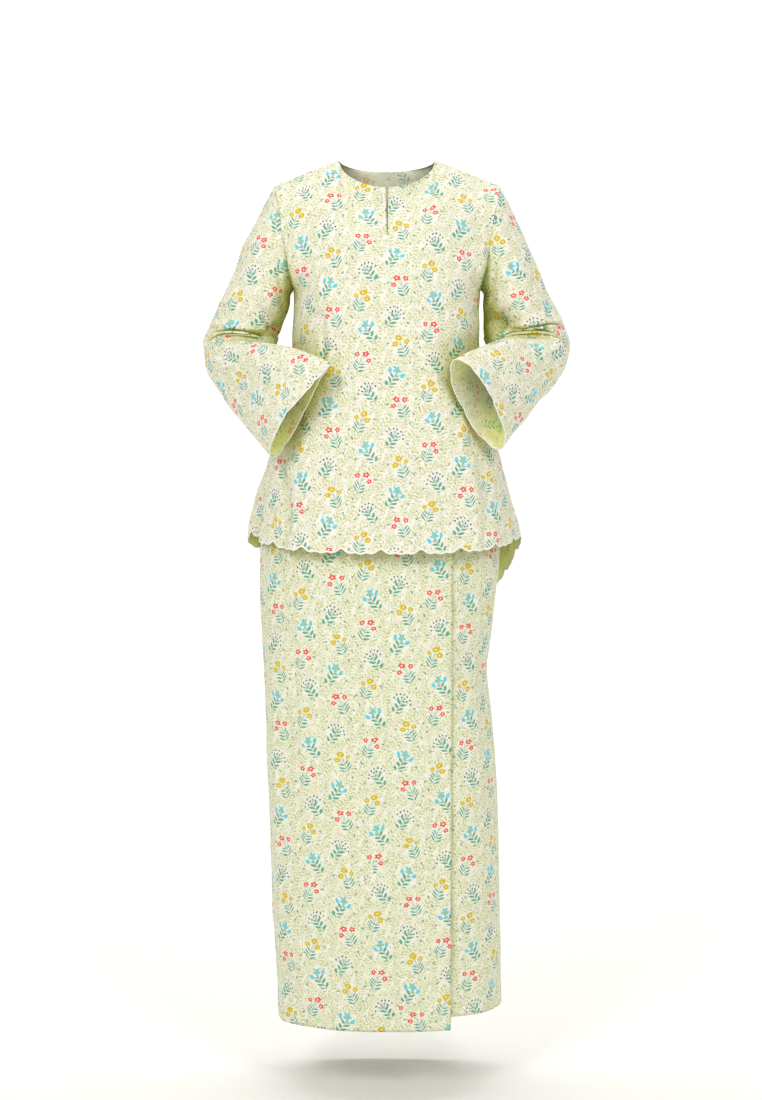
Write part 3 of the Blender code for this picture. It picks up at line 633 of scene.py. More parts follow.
def vine(g, vector, turn, row, sway, wave, length, width, step, lean):
    """Rows of swaying stems with leaves on alternate sides."""
    px, py = g.place(vector, 0, 0, turn)
    level = g.math("FLOOR", g.math("DIVIDE", py, row))
    across = g.math("MULTIPLY", g.math("SUBTRACT", g.math("FRACT", g.math("DIVIDE", py, row)), 0.5), row)
    turn_at = g.math("ADD", g.math("MULTIPLY", px, 2 * math.pi / wave), g.math("MULTIPLY", level, 2.3))
    away = g.math("SUBTRACT", across, g.math("MULTIPLY", g.math("SINE", turn_at), sway))
    side = g.math("MULTIPLY", g.math("GREATER_THAN", away, 0.0), 0.5)
    at = g.math("ADD", g.math("MULTIPLY_ADD", px, 1 / step, g.math("MULTIPLY", level, 0.37)), side)
    u = g.math("MULTIPLY", g.math("FRACT", at), step)
    v = g.math("ABSOLUTE", away)
    ca, sa = math.cos(math.radians(lean)), math.sin(math.radians(lean))
    along = g.math("MULTIPLY_ADD", u, ca / length, g.math("MULTIPLY", v, sa / length))
    wide = g.math("SUBTRACT", g.math("MULTIPLY", v, ca), g.math("MULTIPLY", u, sa))
    leaf = g.blade(along, g.math("DIVIDE", wide, width / 2), width)
    return g.both(leaf, g.mask(g.math("SUBTRACT", 0.28, v), 2.0))


def floral_group():
    """Sprigs in a half-drop over leafy stems.  Sizes inside are in millimetres."""
    tree = bpy.data.node_groups.new("half_drop_sprigs", "ShaderNodeTree")
    tree.interface.new_socket("Grain", in_out="INPUT", socket_type="NodeSocketVector")
    tree.interface.new_socket("Colour", in_out="OUTPUT", socket_type="NodeSocketColor")
    g = Nodes(tree)
    start, end = g.add("NodeGroupInput"), g.add("NodeGroupOutput")
    scale = g.add("ShaderNodeVectorMath", operation="SCALE")
    g.put(scale.inputs[0], start.outputs[0])
    scale.inputs["Scale"].default_value = 1000.0
    mm = scale.outputs[0]

    # a slow warp keeps the drawing from looking ruled
    noise = g.add("ShaderNodeTexNoise", noise_dimensions="2D")
    g.put(noise.inputs["Vector"], mm)
    noise.inputs["Scale"].default_value = 0.075
    noise.inputs["Detail"].default_value = 1.0
    centred = g.add("ShaderNodeVectorMath", operation="SUBTRACT")
    g.put(centred.inputs[0], noise.outputs["Color"])
    centred.inputs[1].default_value = (0.5, 0.5, 0.5)
    bend = g.add("ShaderNodeVectorMath", operation="MULTIPLY_ADD")
    g.put(bend.inputs[0], centred.outputs[0])
    bend.inputs[1].default_value = (7.0, 7.0, 0.0)
    g.put(bend.inputs[2], mm)
    warped = bend.outputs[0]

    # ---- ground foliage
    cluster = g.add("ShaderNodeTexNoise", noise_dimensions="2D")
    g.put(cluster.inputs["Vector"], mm)
    cluster.inputs["Scale"].default_value = 0.055
    cluster.inputs["Detail"].default_value = 1.5
    amount = g.math("MULTIPLY_ADD", cluster.outputs["Fac"], 3.4, -0.90, clamp=True)
    other = g.math("MULTIPLY_ADD", cluster.outputs["Fac"], -2.2, 1.72, clamp=True)
    one = vine(g, warped, 62, 14.6, 2.4, 43.0, 9.0, 3.1, 6.0, 50)
    two = vine(g, warped, -38, 12.8, 2.0, 35.0, 7.8, 2.6, 5.2, 54)
    col = g.blend(g.math("MULTIPLY", two, other), CREAM, SAGE)
    col = g.blend(g.math("MULTIPLY", one, amount), col, SAGE_DARK)

    # ---- half-drop: columns 53 wide, four sprigs one below the other
    W, H = 53.0, 188.0
    cut = g.add("ShaderNodeSeparateXYZ")
    g.put(cut.inputs[0], mm)
    x, y = cut.outputs[0], cut.outputs[1]
    column = g.math("FLOOR", g.math("DIVIDE", x, W))
    odd = g.math("FLOORED_MODULO", column, 2.0)
    flip = g.math("MULTIPLY_ADD", odd, -2.0, 1.0)
    lx = g.math("MULTIPLY", g.math("SUBTRACT", g.math("FRACT", g.math("DIVIDE", x, W)), 0.5), W)
    lx = g.math("MULTIPLY", lx, flip)
    down = g.math("MULTIPLY_ADD", column, 70.5, y)
    part = g.math("MULTIPLY", g.math("FRACT", g.math("DIVIDE", down, H)), 4.0)
    band = g.math("FLOOR", part)
    ly = g.math("MULTIPLY", g.math("SUBTRACT", g.math("FRACT", part), 0.5), H / 4)
    join = g.add("ShaderNodeCombineXYZ")
    stagger = g.math("MULTIPLY_ADD", g.math("FLOORED_MODULO", band, 2.0), 10.0, -5.0)
    g.put(join.inputs[0], g.math("ADD", lx, stagger))
    g.put(join.inputs[1], ly)
    tilt = g.add("ShaderNodeVectorRotate", rotation_type="Z_AXIS")
    g.put(tilt.inputs["Vector"], join.outputs[0])
    lean = g.math("SUBTRACT", g.math("MULTIPLY", g.math("FLOORED_MODULO", band, 2.0), 0.95), 0.50)
    g.put(tilt.inputs["Angle"], lean)
    q0 = tilt.outputs[0]
    # the main stem of each sprig bows to one side
    c2 = g.add("ShaderNodeSeparateXYZ")
    g.put(c2.inputs[0], q0)
    wob = g.add("ShaderNodeVectorMath", operation="SCALE")
    g.put(wob.inputs[0], centred.outputs[0])
    wob.inputs["Scale"].default_value = 3.2
    sq = g.math("MULTIPLY", c2.outputs[1], c2.outputs[1])
    bow = g.add("ShaderNodeCombineXYZ")
    g.put(bow.inputs[0], g.math("MULTIPLY_ADD", sq, 0.011, c2.outputs[0]))
    g.put(bow.inputs[1], c2.outputs[1])
    add = g.add("ShaderNodeVectorMath", operation="ADD")
    g.put(add.inputs[0], bow.outputs[0])
    g.put(add.inputs[1], wob.outputs[0])
    q = add.outputs[0]
    c3 = g.add("ShaderNodeSeparateXYZ")
    g.put(c3.inputs[0], q)
    qx, qy = c3.outputs[0], c3.outputs[1]
    fold = g.add("ShaderNodeCombineXYZ")
    g.put(fold.inputs[0], g.math("ABSOLUTE", qx))
    g.put(fold.inputs[1], qy)
    f = fold.outputs[0]
    fx = fold.inputs[0].links[0].from_socket

    def only(mask, index):
        return g.math("MULTIPLY", mask, g.math("COMPARE", band, float(index), 0.5))

    # ---- open ground round the sprig
    r, _ = g.polar(qx, qy)
    col = g.blend(g.math("MULTIPLY", g.math("MULTIPLY_ADD", r, -0.12, 0.12 * 20, clamp=True), 0.72), col, CREAM)

    # ---- stems and foliage: a twig with paired leaves, or one with many small ones
    even_band = g.math("SUBTRACT", 1.0, g.math("FLOORED_MODULO", band, 2.0))
    odd_band = g.math("FLOORED_MODULO", band, 2.0)
    stem = g.leaf(q, 0, -19, 90, 30, 1.3)
    arms = g.both(g.leaf(f, 0, -5, 48, 15, 0.9), g.leaf(f, 0, -2, 74, 14, 0.8))
    col = g.blend(g.math("MULTIPLY", g.both(stem, arms), 0.85), col, TEAL_PALE)
    paired = g.both(g.leaf(f, 0.3, -17.5, 36, 13.0, 2.5), g.leaf(f, 0.3, -12.0, 33, 12.5, 2.5))
    paired = g.both(paired, g.leaf(f, 0.3, -6.5, 30, 10.0, 2.3))
    rise = g.math("ADD", qy, 19.0)
    side = g.math("MULTIPLY", g.math("GREATER_THAN", qx, 0.0), 0.5)
    at = g.math("FRACT", g.math("MULTIPLY_ADD", rise, 1 / 7.4, side))
    u = g.math("MULTIPLY", at, 7.4)
    ca, sa = math.cos(math.radians(54)), math.sin(math.radians(54))
    along = g.math("MULTIPLY_ADD", u, ca / 10.8, g.math("MULTIPLY", fx, sa / 10.8))
    wide = g.math("SUBTRACT", g.math("MULTIPLY", fx, ca), g.math("MULTIPLY", u, sa))
    many = g.blade(along, g.math("DIVIDE", wide, 1.9), 3.8)
    many = g.math("MULTIPLY", many, g.math("LESS_THAN", qy, 2.0))
    many = g.math("MULTIPLY", many, g.math("GREATER_THAN", qy, -19.0))
    col = g.blend(g.math("MULTIPLY", paired, even_band), col, TEAL)
    col = g.blend(g.math("MULTIPLY", many, odd_band), col, TEAL)

    # ---- coral: three open blooms with pale eyes
    for ox, oy, rad, vec in ((0.0, 13.0, 5.4, qx), (10.2, 6.0, 4.6, fx)):
        petals, r = g.bloom(g.math("SUBTRACT", vec, ox), g.math("SUBTRACT", qy, oy), rad, 5, 0.17)
        col = g.blend(only(petals, 0), col, CORAL)
        col = g.blend(only(g.disc(r, rad * 0.25), 0), col, CREAM)
    # ---- sky: a broad bloom over two buds
    petals, r = g.bloom(qx, g.math("SUBTRACT", qy, 9.5), 7.2, 5, 0.22)
    buds = g.leaf(f, 8.0, 0.5, 62, 10.5, 5.6)
    col = g.blend(only(g.both(petals, buds), 1), col, SKY)
    col = g.blend(only(g.disc(r, 2.2), 1), col, MUSTARD)
    # ---- mustard: daisies of three sizes
    for ox, oy, rad in ((-7.0, 6.5, 5.0), (3.5, 12.0, 5.8), (10.0, 2.5, 4.2)):
        petals, r = g.bloom(g.math("SUBTRACT", qx, ox), g.math("SUBTRACT", qy, oy), rad, 8, 0.12)
        col = g.blend(only(petals, 2), col, MUSTARD)
        col = g.blend(only(g.disc(r, rad * 0.3), 2), col, lin(246, 232, 140))
    # ---- navy: berries on two arcs of fine stalks
    for rad, count, size, spin in ((15.0, 15, 1.35, 90), (9.5, 11, 1.2, 106)):
        px, py = g.place(q, 0, -3.0, spin)
        sx, sy = g.spin(px, py, count)
        r, _ = g.polar(g.math("SUBTRACT", sx, rad), sy)
        dots = g.math("MULTIPLY", g.disc(r, size), g.math("GREATER_THAN", qy, -1.0))
        stalk = g.blade(g.math("DIVIDE", sx, rad), g.math("DIVIDE", sy, 0.35), 0.8)
        stalk = g.math("MULTIPLY", stalk, g.math("GREATER_THAN", qy, -1.0))
        col = g.blend(g.math("MULTIPLY", only(stalk, 3), 0.7), col, TEAL_PALE)
        col = g.blend(only(dots, 3), col, NAVY)
    # ---- seeds and stray leaves in between
    for at in ((23, 18, 70), (22, -14, 140), (-24, 2, 20)):
        pair_leaf = g.leaf(join.outputs[0], at[0], at[1], at[2], 6.0, 2.4)
        col = g.blend(g.math("MULTIPLY", pair_leaf, 0.8), col, INK)
    v = g.add("ShaderNodeTexVoronoi", voronoi_dimensions="2D", feature="F1")
    g.put(v.inputs["Vector"], mm)
    v.inputs["Scale"].default_value = 0.095
    v.inputs["Randomness"].default_value = 0.95
    seeds = g.disc(g.math("MULTIPLY", v.outputs["Distance"], 10.5), 0.95)
    col = g.blend(g.math("MULTIPLY", seeds, 0.75), col, INK)
    g.put(end.inputs[0], col)
    return tree


FLORAL = floral_group()


def cotton(name, shift, wrong=False, shade_tone=(1.0, 1.0, 1.0)):
    """Printed plain-weave cotton with painted shade in its creases, and painted light there on the wrong side; the
    wrong side shows the print washed out.
    """
    mat = bpy.data.materials.new(name)
    mat.use_nodes = True
    g = Nodes(mat.node_tree)
    shader = mat.node_tree.nodes["Principled BSDF"]
    uv = g.add("ShaderNodeUVMap", uv_map="grain")
    move = g.add("ShaderNodeVectorMath", operation="ADD")
    g.put(move.inputs[0], uv.outputs[0])
    move.inputs[1].default_value = (shift[0], shift[1], 0)
    floral = g.add("ShaderNodeGroup", node_tree=FLORAL)
    g.put(floral.inputs[0], move.outputs[0])
    colour = floral.outputs[0]
    if wrong:
        colour = g.blend(0.34, colour, lin(252, 252, 228))
    # painted shade and painted light: an ambient-occlusion node finds creases, recesses and cloth closed in by other
    # parts; there the outer side's colour is darkened to a dark yellow-green as painted shade, and the wrong side's
    # colour is raised in red and green and lowered in blue, a yellow painted light inside the sleeves and under the
    # tunic
    crease_occlusion = g.add("ShaderNodeAmbientOcclusion", samples=3)
    crease_occlusion.inputs["Distance"].default_value = 0.060 if wrong else 0.048
    slope, start = (-2.20, 1.78) if wrong else (-2.20, 1.82)
    painted_shade_amount = g.math("MULTIPLY_ADD", crease_occlusion.outputs["AO"], slope, start, clamp=True)
    painted_shade_and_light_tint = g.add("ShaderNodeVectorMath", operation="MULTIPLY")
    g.put(painted_shade_and_light_tint.inputs[0], colour)
    # outer side: painted shade multiplier; wrong side: above one in red and green, painted light
    painted_shade_and_light_tint.inputs[1].default_value = (1.26, 1.31, 0.58) if wrong else (0.66, 0.66, 0.20)
    colour = g.blend(painted_shade_amount, colour, painted_shade_and_light_tint.outputs[0])
    # threads: warp and weft about half a millimetre apart
    cut = g.add("ShaderNodeSeparateXYZ")
    g.put(cut.inputs[0], uv.outputs[0])
    warp = g.math("SINE", g.math("MULTIPLY", cut.outputs[0], 2 * math.pi / 0.00062))
    weft = g.math("SINE", g.math("MULTIPLY", cut.outputs[1], 2 * math.pi / 0.00068))
    weave = g.math("MULTIPLY_ADD", g.math("MULTIPLY", warp, weft), 0.5, 0.5)
    slub = g.add("ShaderNodeTexNoise", noise_dimensions="2D")
    stretch = g.add("ShaderNodeMapping")
    g.put(stretch.inputs["Vector"], uv.outputs[0])
    stretch.inputs["Scale"].default_value = (1400, 260, 1)
    g.put(slub.inputs["Vector"], stretch.outputs[0])
    slub.inputs["Scale"].default_value = 1.0
    slub.inputs["Detail"].default_value = 2.0
    shade = g.math("MULTIPLY_ADD", g.math("ADD", g.math("MULTIPLY", weave, 0.5), slub.outputs["Fac"]), 0.07, 0.935)
    tint = g.add("ShaderNodeVectorMath", operation="SCALE")
    # painted shade: the colour is multiplied by a given factor that makes the skirt darker and yellower because less
    # light falls on it; the tunic and sleeves use one
    shade_toned = g.add("ShaderNodeVectorMath", operation="MULTIPLY")
    g.put(shade_toned.inputs[0], colour)
    shade_toned.inputs[1].default_value = shade_tone
    g.put(tint.inputs[0], shade_toned.outputs[0])
    g.put(tint.inputs["Scale"], shade)
    g.put(shader.inputs["Base Color"], tint.outputs[0])
    bump = g.add("ShaderNodeBump")
    bump.inputs["Strength"].default_value = 0.25
    bump.inputs["Distance"].default_value = 0.00012
    g.put(bump.inputs["Height"], g.math("ADD", weave, slub.outputs["Fac"]))
    g.put(shader.inputs["Normal"], bump.outputs[0])
    shader.inputs["Roughness"].default_value = 0.86
    shader.inputs["Specular IOR Level"].default_value = 0.25
    shader.inputs["Sheen Weight"].default_value = 0.08
    shader.inputs["Sheen Roughness"].default_value = 0.5
    return mat


def stitching():
    mat = bpy.data.materials.new("satin_stitch")
    mat.use_nodes = True
    g = Nodes(mat.node_tree)
    shader = mat.node_tree.nodes["Principled BSDF"]
    uv = g.add("ShaderNodeUVMap", uv_map="grain")
    cut = g.add("ShaderNodeSeparateXYZ")
    g.put(cut.inputs[0], uv.outputs[0])
    thread = g.math("SINE", g.math("MULTIPLY", cut.outputs[0], 2 * math.pi / 0.00055))
    thread = g.math("MULTIPLY_ADD", thread, 0.5, 0.5)
    noise = g.add("ShaderNodeTexNoise", noise_dimensions="2D")
    stretch = g.add("ShaderNodeMapping")
    g.put(stretch.inputs["Vector"], uv.outputs[0])
    stretch.inputs["Scale"].default_value = (900, 2, 1)
    g.put(noise.inputs["Vector"], stretch.outputs[0])
    noise.inputs["Scale"].default_value = 1.0
    colour = g.blend(g.math("MULTIPLY", noise.outputs["Fac"], 0.5), lin(255, 254, 248), lin(236, 236, 224))
    g.put(shader.inputs["Base Color"], colour)
    bump = g.add("ShaderNodeBump")
    bump.inputs["Strength"].default_value = 0.5
    bump.inputs["Distance"].default_value = 0.0002
    g.put(bump.inputs["Height"], thread)
    g.put(shader.inputs["Normal"], bump.outputs[0])
    shader.inputs["Roughness"].default_value = 0.5
    shader.inputs["Specular IOR Level"].default_value = 0.4
    return mat


WHITE = stitching()


def pair(name, shift, shade_tone=(1.0, 1.0, 1.0)):
    return [cotton(name, shift, False, shade_tone), cotton(name + "_wrong_side", shift, True, shade_tone)]


# painted shade: the skirt, the same cloth as the tunic, is made a little darker and yellower since it gets less light
SKIRT_SHADE_TONE = (0.965, 0.985, 0.935)


# ------------------------------------------------------------------ tunic
def spaced_angles(side):
    """Columns about 3 mm apart, with one at each neck corner and slit edge."""
    fine = np.linspace(0, 90, 1801)
    ref = body(TUNIC, [], fine, np.full(1801, -0.45))
    run = run_length(ref)
    neck = math.degrees(math.acos((NECK_HALF / SHOULDER_HALF) ** (SQUARE / 2)))
    slit = math.degrees(math.acos((SLIT_WIDTH / 2 / SHOULDER_HALF) ** (SQUARE / 2)))
    stop = slit if side == "front" else 90.0
    out = []
    for a, b, n in ((0.0, neck, 62), (neck, stop, 26)):
        ra, rb = np.interp([a, b], fine, run)
        out.append(np.interp(np.linspace(ra, rb, n + 1), run, fine)[:-1])
    half = np.concatenate(out)
    if side == "front":
        mid = [slit, 180 - slit]
    else:
        mid = [90.0]
    return np.concatenate([half, mid, 180 - half[::-1]])


def tunic_panel(side, mats):
    angle = spaced_angles(side)
    ring = angle if side == "front" else (360.0 - angle) % 360.0
    up = (1 - np.cos(np.pi * np.linspace(0, 1, 55))) / 2
    rows = [tunic_upper(side, angle, s) for s in up]
    count = 96 if side == "front" else 122
    hem = hem_z(side, angle)
    for s in np.linspace(0, 1, count)[1:]:
        z = UNDERARM_Z + (hem - UNDERARM_Z) * s
        p = body(TUNIC, TUNIC_FOLDS, ring, z)
        p[0, 1] = p[-1, 1] = 0.0
        rows.append(p)
    P = np.array(rows)
    down = P[-1] - P[-3]
    down /= np.linalg.norm(down, axis=1, keepdims=True)
    run = run_length(P[-1])
    turns = round(run[-1] / SCALLOP_PITCH)
    drop = EDGING_DEPTH + SCALLOP_DEPTH * scallop(run / run[-1] * turns)
    for k in (1, 2, 3):
        P = np.concatenate([P, (P[len(rows) - 1] + down * (drop * k / 3)[:, None])[None]])
    N = grid_normals(P)
    if side == "back":
        N = -N
    X, Z = P[..., 0], P[..., 2]
    seam = np.minimum(1.0, np.minimum(np.arange(len(angle)), np.arange(len(angle))[::-1]) / 6.0)[None]
    top = ease((0 - np.arange(len(P)) + 0.0) * -1 / 6.0)[:, None]
    push = (segment_push(X, Z, TUNIC_CREASES[side]) + ripple(X, Z, 3 if side == "front" else 8)) * seam * top
    P = P + N * (push + 0.0002)[..., None]
    UV = hem_grain(flatten(P[:len(rows)], rows=60, columns=64), drop)
    holes = np.zeros((P.shape[0], P.shape[1]), bool)
    if side == "front":
        slit_col = len(angle) // 2 - 1
        rows_open = int(np.sum(P[:, slit_col, 2] > SLIT_END_Z))
        holes[:rows_open, slit_col] = True
        # the slit narrows to a point at its foot
        half = np.linspace(1.0, 0.0, rows_open + 1) ** 0.8 * 1.45 + 0.12
        P[:rows_open + 1, slit_col, 0] *= half
        P[:rows_open + 1, slit_col + 1, 0] *= half
    if side == "back":
        P, UV, N = P[:, ::-1], UV[:, ::-1], N[:, ::-1]
        UV = UV * np.array([-1, 1])
    obj = cloth("tunic_" + side + "_cloth", P, UV, mats, holes=holes)
    return obj, P, N


def hem_band(name, edge_points, inner_points, normals, mat, closed, step=0.0016, half_wide=0.0017):
    """Satin band along a scalloped edge, from the shell's last two rows."""
    P = np.vstack([edge_points, edge_points[:1]]) if closed else edge_points
    Q = np.vstack([inner_points, inner_points[:1]]) if closed else inner_points
    M = np.vstack([normals, normals[:1]]) if closed else normals
    run = run_length(P)
    n = int(run[-1] / step)
    s = np.linspace(0, run[-1], n, endpoint=not closed)
    take = lambda A: np.stack([np.interp(s, run, A[:, k]) for k in range(3)], 1)
    e, i, m = take(P), take(Q), take(M)
    along = np.gradient(e, axis=0) if not closed else np.roll(e, -1, 0) - np.roll(e, 1, 0)
    along /= np.linalg.norm(along, axis=1, keepdims=True)
    m = m - along * np.sum(m * along, 1, keepdims=True)
    m /= np.linalg.norm(m, axis=1, keepdims=True)
    side = np.cross(m, along)
    flip = np.sign(np.sum(side * (i - e), 1, keepdims=True))
    side = side * np.where(flip == 0, 1, flip)
    return satin(name, e, side, m, mat, closed, half_wide)


PIECES = {}
for side, shift in (("front", (0.013, 0.020)), ("back", (0.041, 0.033))):
    obj, P, N = tunic_panel(side, pair("print_tunic_" + side, shift))
    PIECES["tunic_" + side] = obj
    band = hem_band("hem_stitch_" + side, P[-1], P[-4], N[-2], WHITE, False)
    PIECES["hem_edging_" + side] = band


# ------------------------------------------------------------------ sleeves
def sleeve_grid(loops, shares, turns):
    """Smooth sleeve surface on a grid of shares by turns."""
    c, s = np.cos(np.radians(turns)), np.sin(np.radians(turns))

    def ring(i):
        if i < 0:
            return 2 * ring(0) - ring(1)
        if i >= len(loops):
            return 2 * ring(len(loops) - 1) - ring(len(loops) - 2)
        centre, side, fore, pinch, bow = loops[i]
        spread = c * (1 + pinch * s) - bow * c * c
        return (np.array(centre)[None] + np.array(side)[None] * spread[:, None]
                + np.array(fore)[None] * s[:, None])

    last = len(loops) - 1
    rows = []
    for t in shares:
        k = min(int(t * last), last - 1)
        f = t * last - k
        p0, p1, p2, p3 = (ring(k + j) for j in (-1, 0, 1, 2))
        rows.append(0.5 * (2 * p1 + (p2 - p0) * f + (2 * p0 - 5 * p1 + 4 * p2 - p3) * f * f
                           + (3 * p1 - p0 - 3 * p2 + p3) * f**3))
    return np.array(rows)


def sleeve(name, loops, creases, tucks, mats):
    turns = 180.0 + np.arange(128) * 360.0 / 128
    even = np.linspace(0, 1, 2001)
    crowd = np.cumsum(1 + 2.2 * np.exp(-((even - 0.50) / 0.09) ** 2))
    shares = np.interp(np.linspace(crowd[0], crowd[-1], 168), crowd, even)
    P = sleeve_grid(loops, shares, turns)
    sign = 1.0 if P[0, :, 0].mean() > 0 else -1.0
    c = np.cos(np.radians(turns))
    gap = np.where(c < 0, 0.0024 * np.abs(c) ** 1.5, 0.0)
    fade = np.clip(1 - shares / 0.22, 0, 1)
    P[..., 0] += sign * fade[:, None] * gap[None]
    down = P[-1] - P[-4]
    down /= np.linalg.norm(down, axis=1, keepdims=True)
    run = run_length(np.vstack([P[-1], P[-1][:1]]))
    count = round(run[-1] / SCALLOP_PITCH)
    drop = EDGING_DEPTH + 0.35 * SCALLOP_DEPTH * scallop(run[:-1] / run[-1] * count)
    base = P[-1].copy()
    for k in (1, 2, 3):
        P = np.concatenate([P, (base + down * (drop * k / 3)[:, None])[None]])
    if sign > 0:
        N = grid_normals(P[:, ::-1], closed=True)[:, ::-1]
    else:
        N = grid_normals(P, closed=True)
    length = 0.43
    a = np.concatenate([shares, [1.01, 1.02, 1.03]])[:, None] * length + 0 * turns[None]
    around = run[-1] / 360.0 * 1.05
    rows = [(t0 * length, u0 * around, t1 * length, u1 * around, w, d) for t0, u0, t1, u1, w, d in creases]
    push = ripple(P[..., 0] * 0.6 + P[..., 1], P[..., 2], 40 if sign < 0 else 41)
    for wrap in (-360.0, 0.0):
        b = (turns[None] + wrap) * around + 0 * a
        push += segment_push(a, b, rows)
        for points, width, trough, ridge in tucks:
            line = [(t * length, u * around) for t, u in points]
            push += tuck_push(a, b, line, width, trough, ridge)
    head = ease(np.arange(len(P)) / 8.0)[:, None]
    wave = 0.0009 * np.sin(np.radians(turns * 3 + 40))[None] * ease((a / length - 0.6) / 0.4)
    push = (push + wave) * head
    P = P + N * (push + 0.0002)[..., None]
    UV = hem_grain(flatten(P[:len(shares)], closed=True, rows=60, columns=44, down_to=0.36), np.append(drop, drop[0]))
    if sign > 0:
        Q, UV2, M = P[:, ::-1], UV[:, ::-1] * np.array([-1, 1]), N[:, ::-1]
    else:
        Q, UV2, M = P, UV, N
    return cloth(name, Q, UV2, mats, closed=True), Q, M


for side, loops, shift in (("left", LEFT_SLEEVE, (0.020, 0.010)), ("right", RIGHT_SLEEVE, (0.055, 0.052))):
    obj, P, N = sleeve("sleeve_" + side + "_cloth", loops, SLEEVE_CREASES[side], SLEEVE_TUCKS[side],
                       pair("print_sleeve_" + side, shift))
    PIECES["sleeve_" + side] = obj
    PIECES["cuff_edging_" + side] = hem_band("cuff_stitch_" + side, P[-1], P[-4], N[-2], WHITE, True, half_wide=0.0010)


# ------------------------------------------------------------------ skirt
def wrap_edge(z):
    t = (SKIRT_TOP_Z - z) / (SKIRT_TOP_Z - SKIRT_HEM_Z)
    x = WRAP_EDGE_TOP_X + (WRAP_EDGE_HEM_X - WRAP_EDGE_TOP_X) * t
    return angle_at(SKIRT, x * np.minimum(1.0, 0.82 + 0.9 * t), z)


def under_edge(z):
    return angle_at(SKIRT, np.full(np.shape(z), UNDER_REACH_X), z)


def skirt_panel(name, first, last, columns, hem, mats, lift, crease_side, seed, edges, grain):
    fine = 900
    levels = SKIRT_TOP_Z + (SKIRT_HEM_Z - SKIRT_TOP_Z) * np.linspace(0, 1, 170)
    rows = []
    for i, level in enumerate(levels):
        share = i / (len(levels) - 1)
        a, b = float(first(level)), float(last(level))
        probe = np.linspace(a, b, fine)
        run = run_length(body(SKIRT, [], probe, np.full(fine, level)))
        angle = np.interp(np.linspace(0, run[-1], columns + 1), run, probe)
        z = SKIRT_TOP_Z + (hem(angle) - SKIRT_TOP_Z) * share
        rows.append(body(SKIRT, SKIRT_FOLDS, angle, z, lift(angle, z, share)))
    P = np.array(rows)
    N = grid_normals(P)
    X, Z = P[..., 0], P[..., 2]
    k = np.arange(columns + 1)
    seam = np.ones(columns + 1)
    if edges[0]:
        seam = np.minimum(seam, k / 6.0)
    if edges[1]:
        seam = np.minimum(seam, k[::-1] / 6.0)
    calm = ease((-0.60 - Z) / 0.08) * 0.9 + 0.1
    push = (segment_push(X, Z, SKIRT_CREASES[crease_side]) + ripple(X, Z, seed, 0.00034)) * np.minimum(1, seam)[None] * calm
    P = P + N * (push + 0.0002)[..., None]
    return cloth(name, P, flatten(P, rows=60, columns=32, grain=grain), mats)


def back_hem(angle):
    return SKIRT_HEM_Z + UNDER_RISE * (1 - ease((angle - 180.0) / 70.0))


def over_lift(angle, z, share):
    start = under_edge(z)
    lift = WRAP_LIFT * ease((angle - start * 0.45) / (start * 0.40))
    # the free edge stands off a little, more towards the hem
    near = ease((angle - (wrap_edge(z) - 9.0)) / 9.0)
    return lift + near * (0.0006 + 0.0022 * ease((share - 0.25) / 0.75))


PIECES["skirt_back"] = skirt_panel(
    "skirt_back_cloth", lambda z: 180.0, lambda z: 360.0, 104, back_hem,
    pair("print_skirt_back", (0.030, 0.012), SKIRT_SHADE_TONE), lambda a, z, s: 0.0, "back", 21, (True, True), 0.5)
PIECES["skirt_over_wrap"] = skirt_panel(
    "skirt_over_wrap_cloth", lambda z: 0.0, wrap_edge, 88, lambda a: np.full(np.shape(a), SKIRT_HEM_Z),
    pair("print_skirt_over", (0.000, 0.047), SKIRT_SHADE_TONE), over_lift, "front", 22, (True, False), 1.0)
PIECES["skirt_under_wrap"] = skirt_panel(
    "skirt_under_wrap_cloth", under_edge, lambda z: 180.0, 70,
    lambda a: np.full(np.shape(a), SKIRT_HEM_Z + UNDER_RISE),
    pair("print_skirt_under", (0.062, 0.019), SKIRT_SHADE_TONE), lambda a, z, s: -0.0004, "front", 23, (False, True), 0.3)


def waistband(mats):
    turns = np.arange(160) * 360.0 / 160
    z = np.linspace(SKIRT_TOP_Z + WAISTBAND, SKIRT_TOP_Z + 0.0005, 9)
    P = np.array([body(SKIRT, SKIRT_FOLDS, turns, np.full(160, h), 0.0012) for h in z])
    U = np.stack([run_length(np.vstack([row, row[:1]])) for row in P])
    V = np.repeat((z[0] - z)[:, None], 161, 1)
    return cloth("skirt_waistband_cloth", P, np.stack([U, -V], -1), mats, closed=True, thickness=0.0026)


PIECES["skirt_waistband"] = waistband(pair("print_waistband", (0.0, 0.0)))

# ------------------------------------------------------------------ frame ties
for node, obj in PIECES.items():
    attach(obj, "root")
    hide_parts(node)


def measured(obj):
    """Area, widest row and longest column of the open surface."""
    mesh = obj.data
    area = sum(p.area for p in mesh.polygons)
    uv = np.empty(2 * len(mesh.loops), np.float32)
    mesh.uv_layers["grain"].data.foreach_get("uv", uv)
    uv = uv.reshape(-1, 2)
    return area, np.ptp(uv[:, 0]), np.ptp(uv[:, 1])


for node in ("tunic_front", "tunic_back", "sleeve_left", "sleeve_right", "skirt_back",
             "skirt_over_wrap", "skirt_under_wrap", "skirt_waistband"):
    area, wide, long = measured(PIECES[node])
    print("SHEET", node, round(area, 4), round(float(wide), 3), round(float(long), 3))

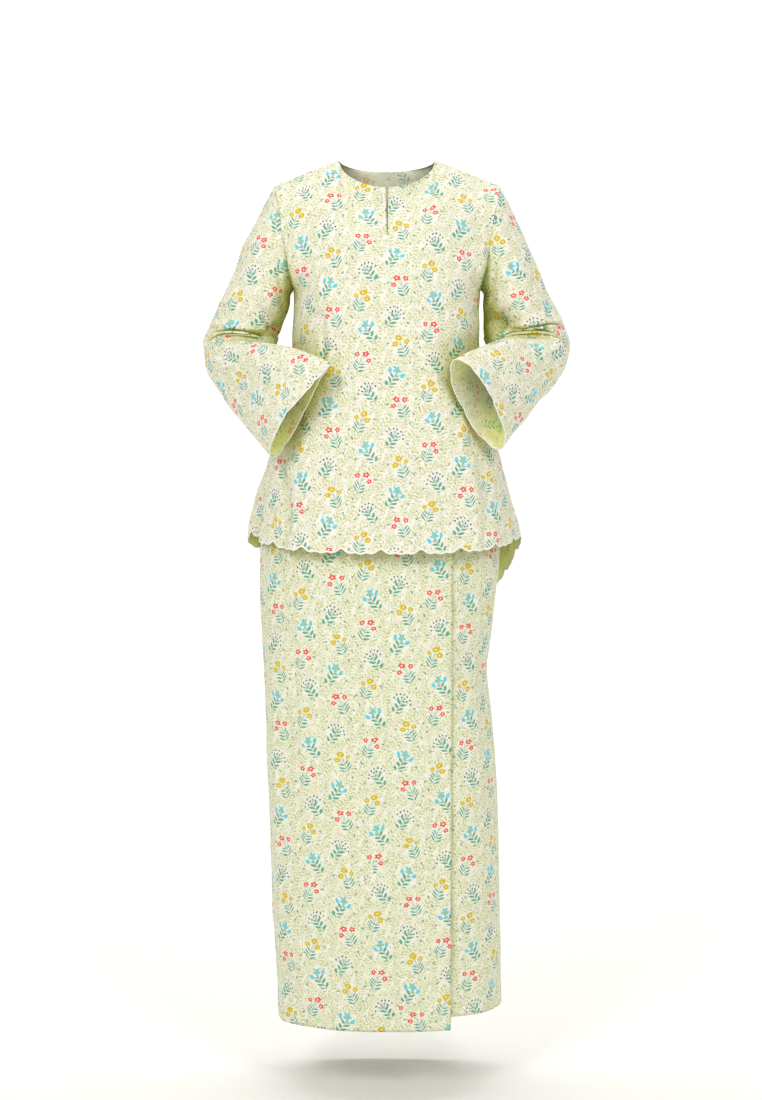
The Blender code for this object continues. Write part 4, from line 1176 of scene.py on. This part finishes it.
# ------------------------------------------------------------------ stage
sweep = [(-9.0, -1.495), (3.0, -1.495)]
for k in range(1, 25):
    a = math.radians(90 * k / 24)
    sweep.append((3.0 + 2.6 * math.sin(a), -1.495 + 2.6 * (1 - math.cos(a))))
sweep.append((5.6, 7.0))
floor_mesh = bpy.data.meshes.new("floor")
floor_mesh.from_pydata([(x, y, z) for y, z in sweep for x in (-9.0, 9.0)], [],
                       [(2 * k, 2 * k + 1, 2 * k + 3, 2 * k + 2) for k in range(len(sweep) - 1)])
floor_mesh.shade_smooth()
floor = bpy.data.objects.new("floor", floor_mesh)
bpy.context.scene.collection.objects.link(floor)
floor_mat = bpy.data.materials.new("floor_paint")
floor_mat.use_nodes = True
floor_mat.node_tree.nodes["Principled BSDF"].inputs["Base Color"].default_value = (0.96, 0.96, 0.94, 1)
floor_mat.node_tree.nodes["Principled BSDF"].inputs["Roughness"].default_value = 0.9
floor_mat.node_tree.nodes["Principled BSDF"].inputs["Specular IOR Level"].default_value = 0.1
floor_mesh.materials.append(floor_mat)

world = bpy.data.worlds.new("studio")
bpy.context.scene.world = world
world.use_nodes = True
world.node_tree.nodes["Background"].inputs["Color"].default_value = (1.0, 0.975, 0.93, 1)
world.node_tree.nodes["Background"].inputs["Strength"].default_value = 0.49


def area_light(name, at, aim, size, power, colour=(1, 1, 1)):
    lamp = bpy.data.lights.new(name, "AREA")
    lamp.shape = "RECTANGLE"
    lamp.size, lamp.size_y = size
    lamp.energy = power
    lamp.color = colour
    obj = bpy.data.objects.new(name, lamp)
    bpy.context.scene.collection.objects.link(obj)
    from mathutils import Vector
    obj.location = at
    obj.rotation_euler = (Vector(aim) - Vector(at)).to_track_quat("-Z", "Y").to_euler()
    return obj


area_light("key_left", (-1.45, -2.6, 1.15), (0, 0, -0.35), (0.9, 1.2), 37, (1.0, 0.985, 0.955))
area_light("key_right", (1.45, -2.6, 1.15), (0, 0, -0.35), (0.9, 1.2), 29, (1.0, 0.985, 0.955))
area_light("backdrop", (0, 1.2, 3.6), (0, 5.2, 0.2), (6.0, 1.0), 210)

camera = bpy.data.cameras.new("camera")
camera.sensor_fit = "VERTICAL"
camera.sensor_height = 24.0
camera.lens = 2350.0 / 1100.0 * 24.0
cam = bpy.data.objects.new("camera", camera)
bpy.context.scene.collection.objects.link(cam)
cam.location = (-0.0097, -3.8, 1.20 - 1.495)
cam.rotation_euler = (math.radians(90 - 4.96), 0, 0)
bpy.context.scene.camera = cam
bpy.context.scene.view_settings.view_transform = "Standard"
bpy.context.scene.view_settings.look = "None"
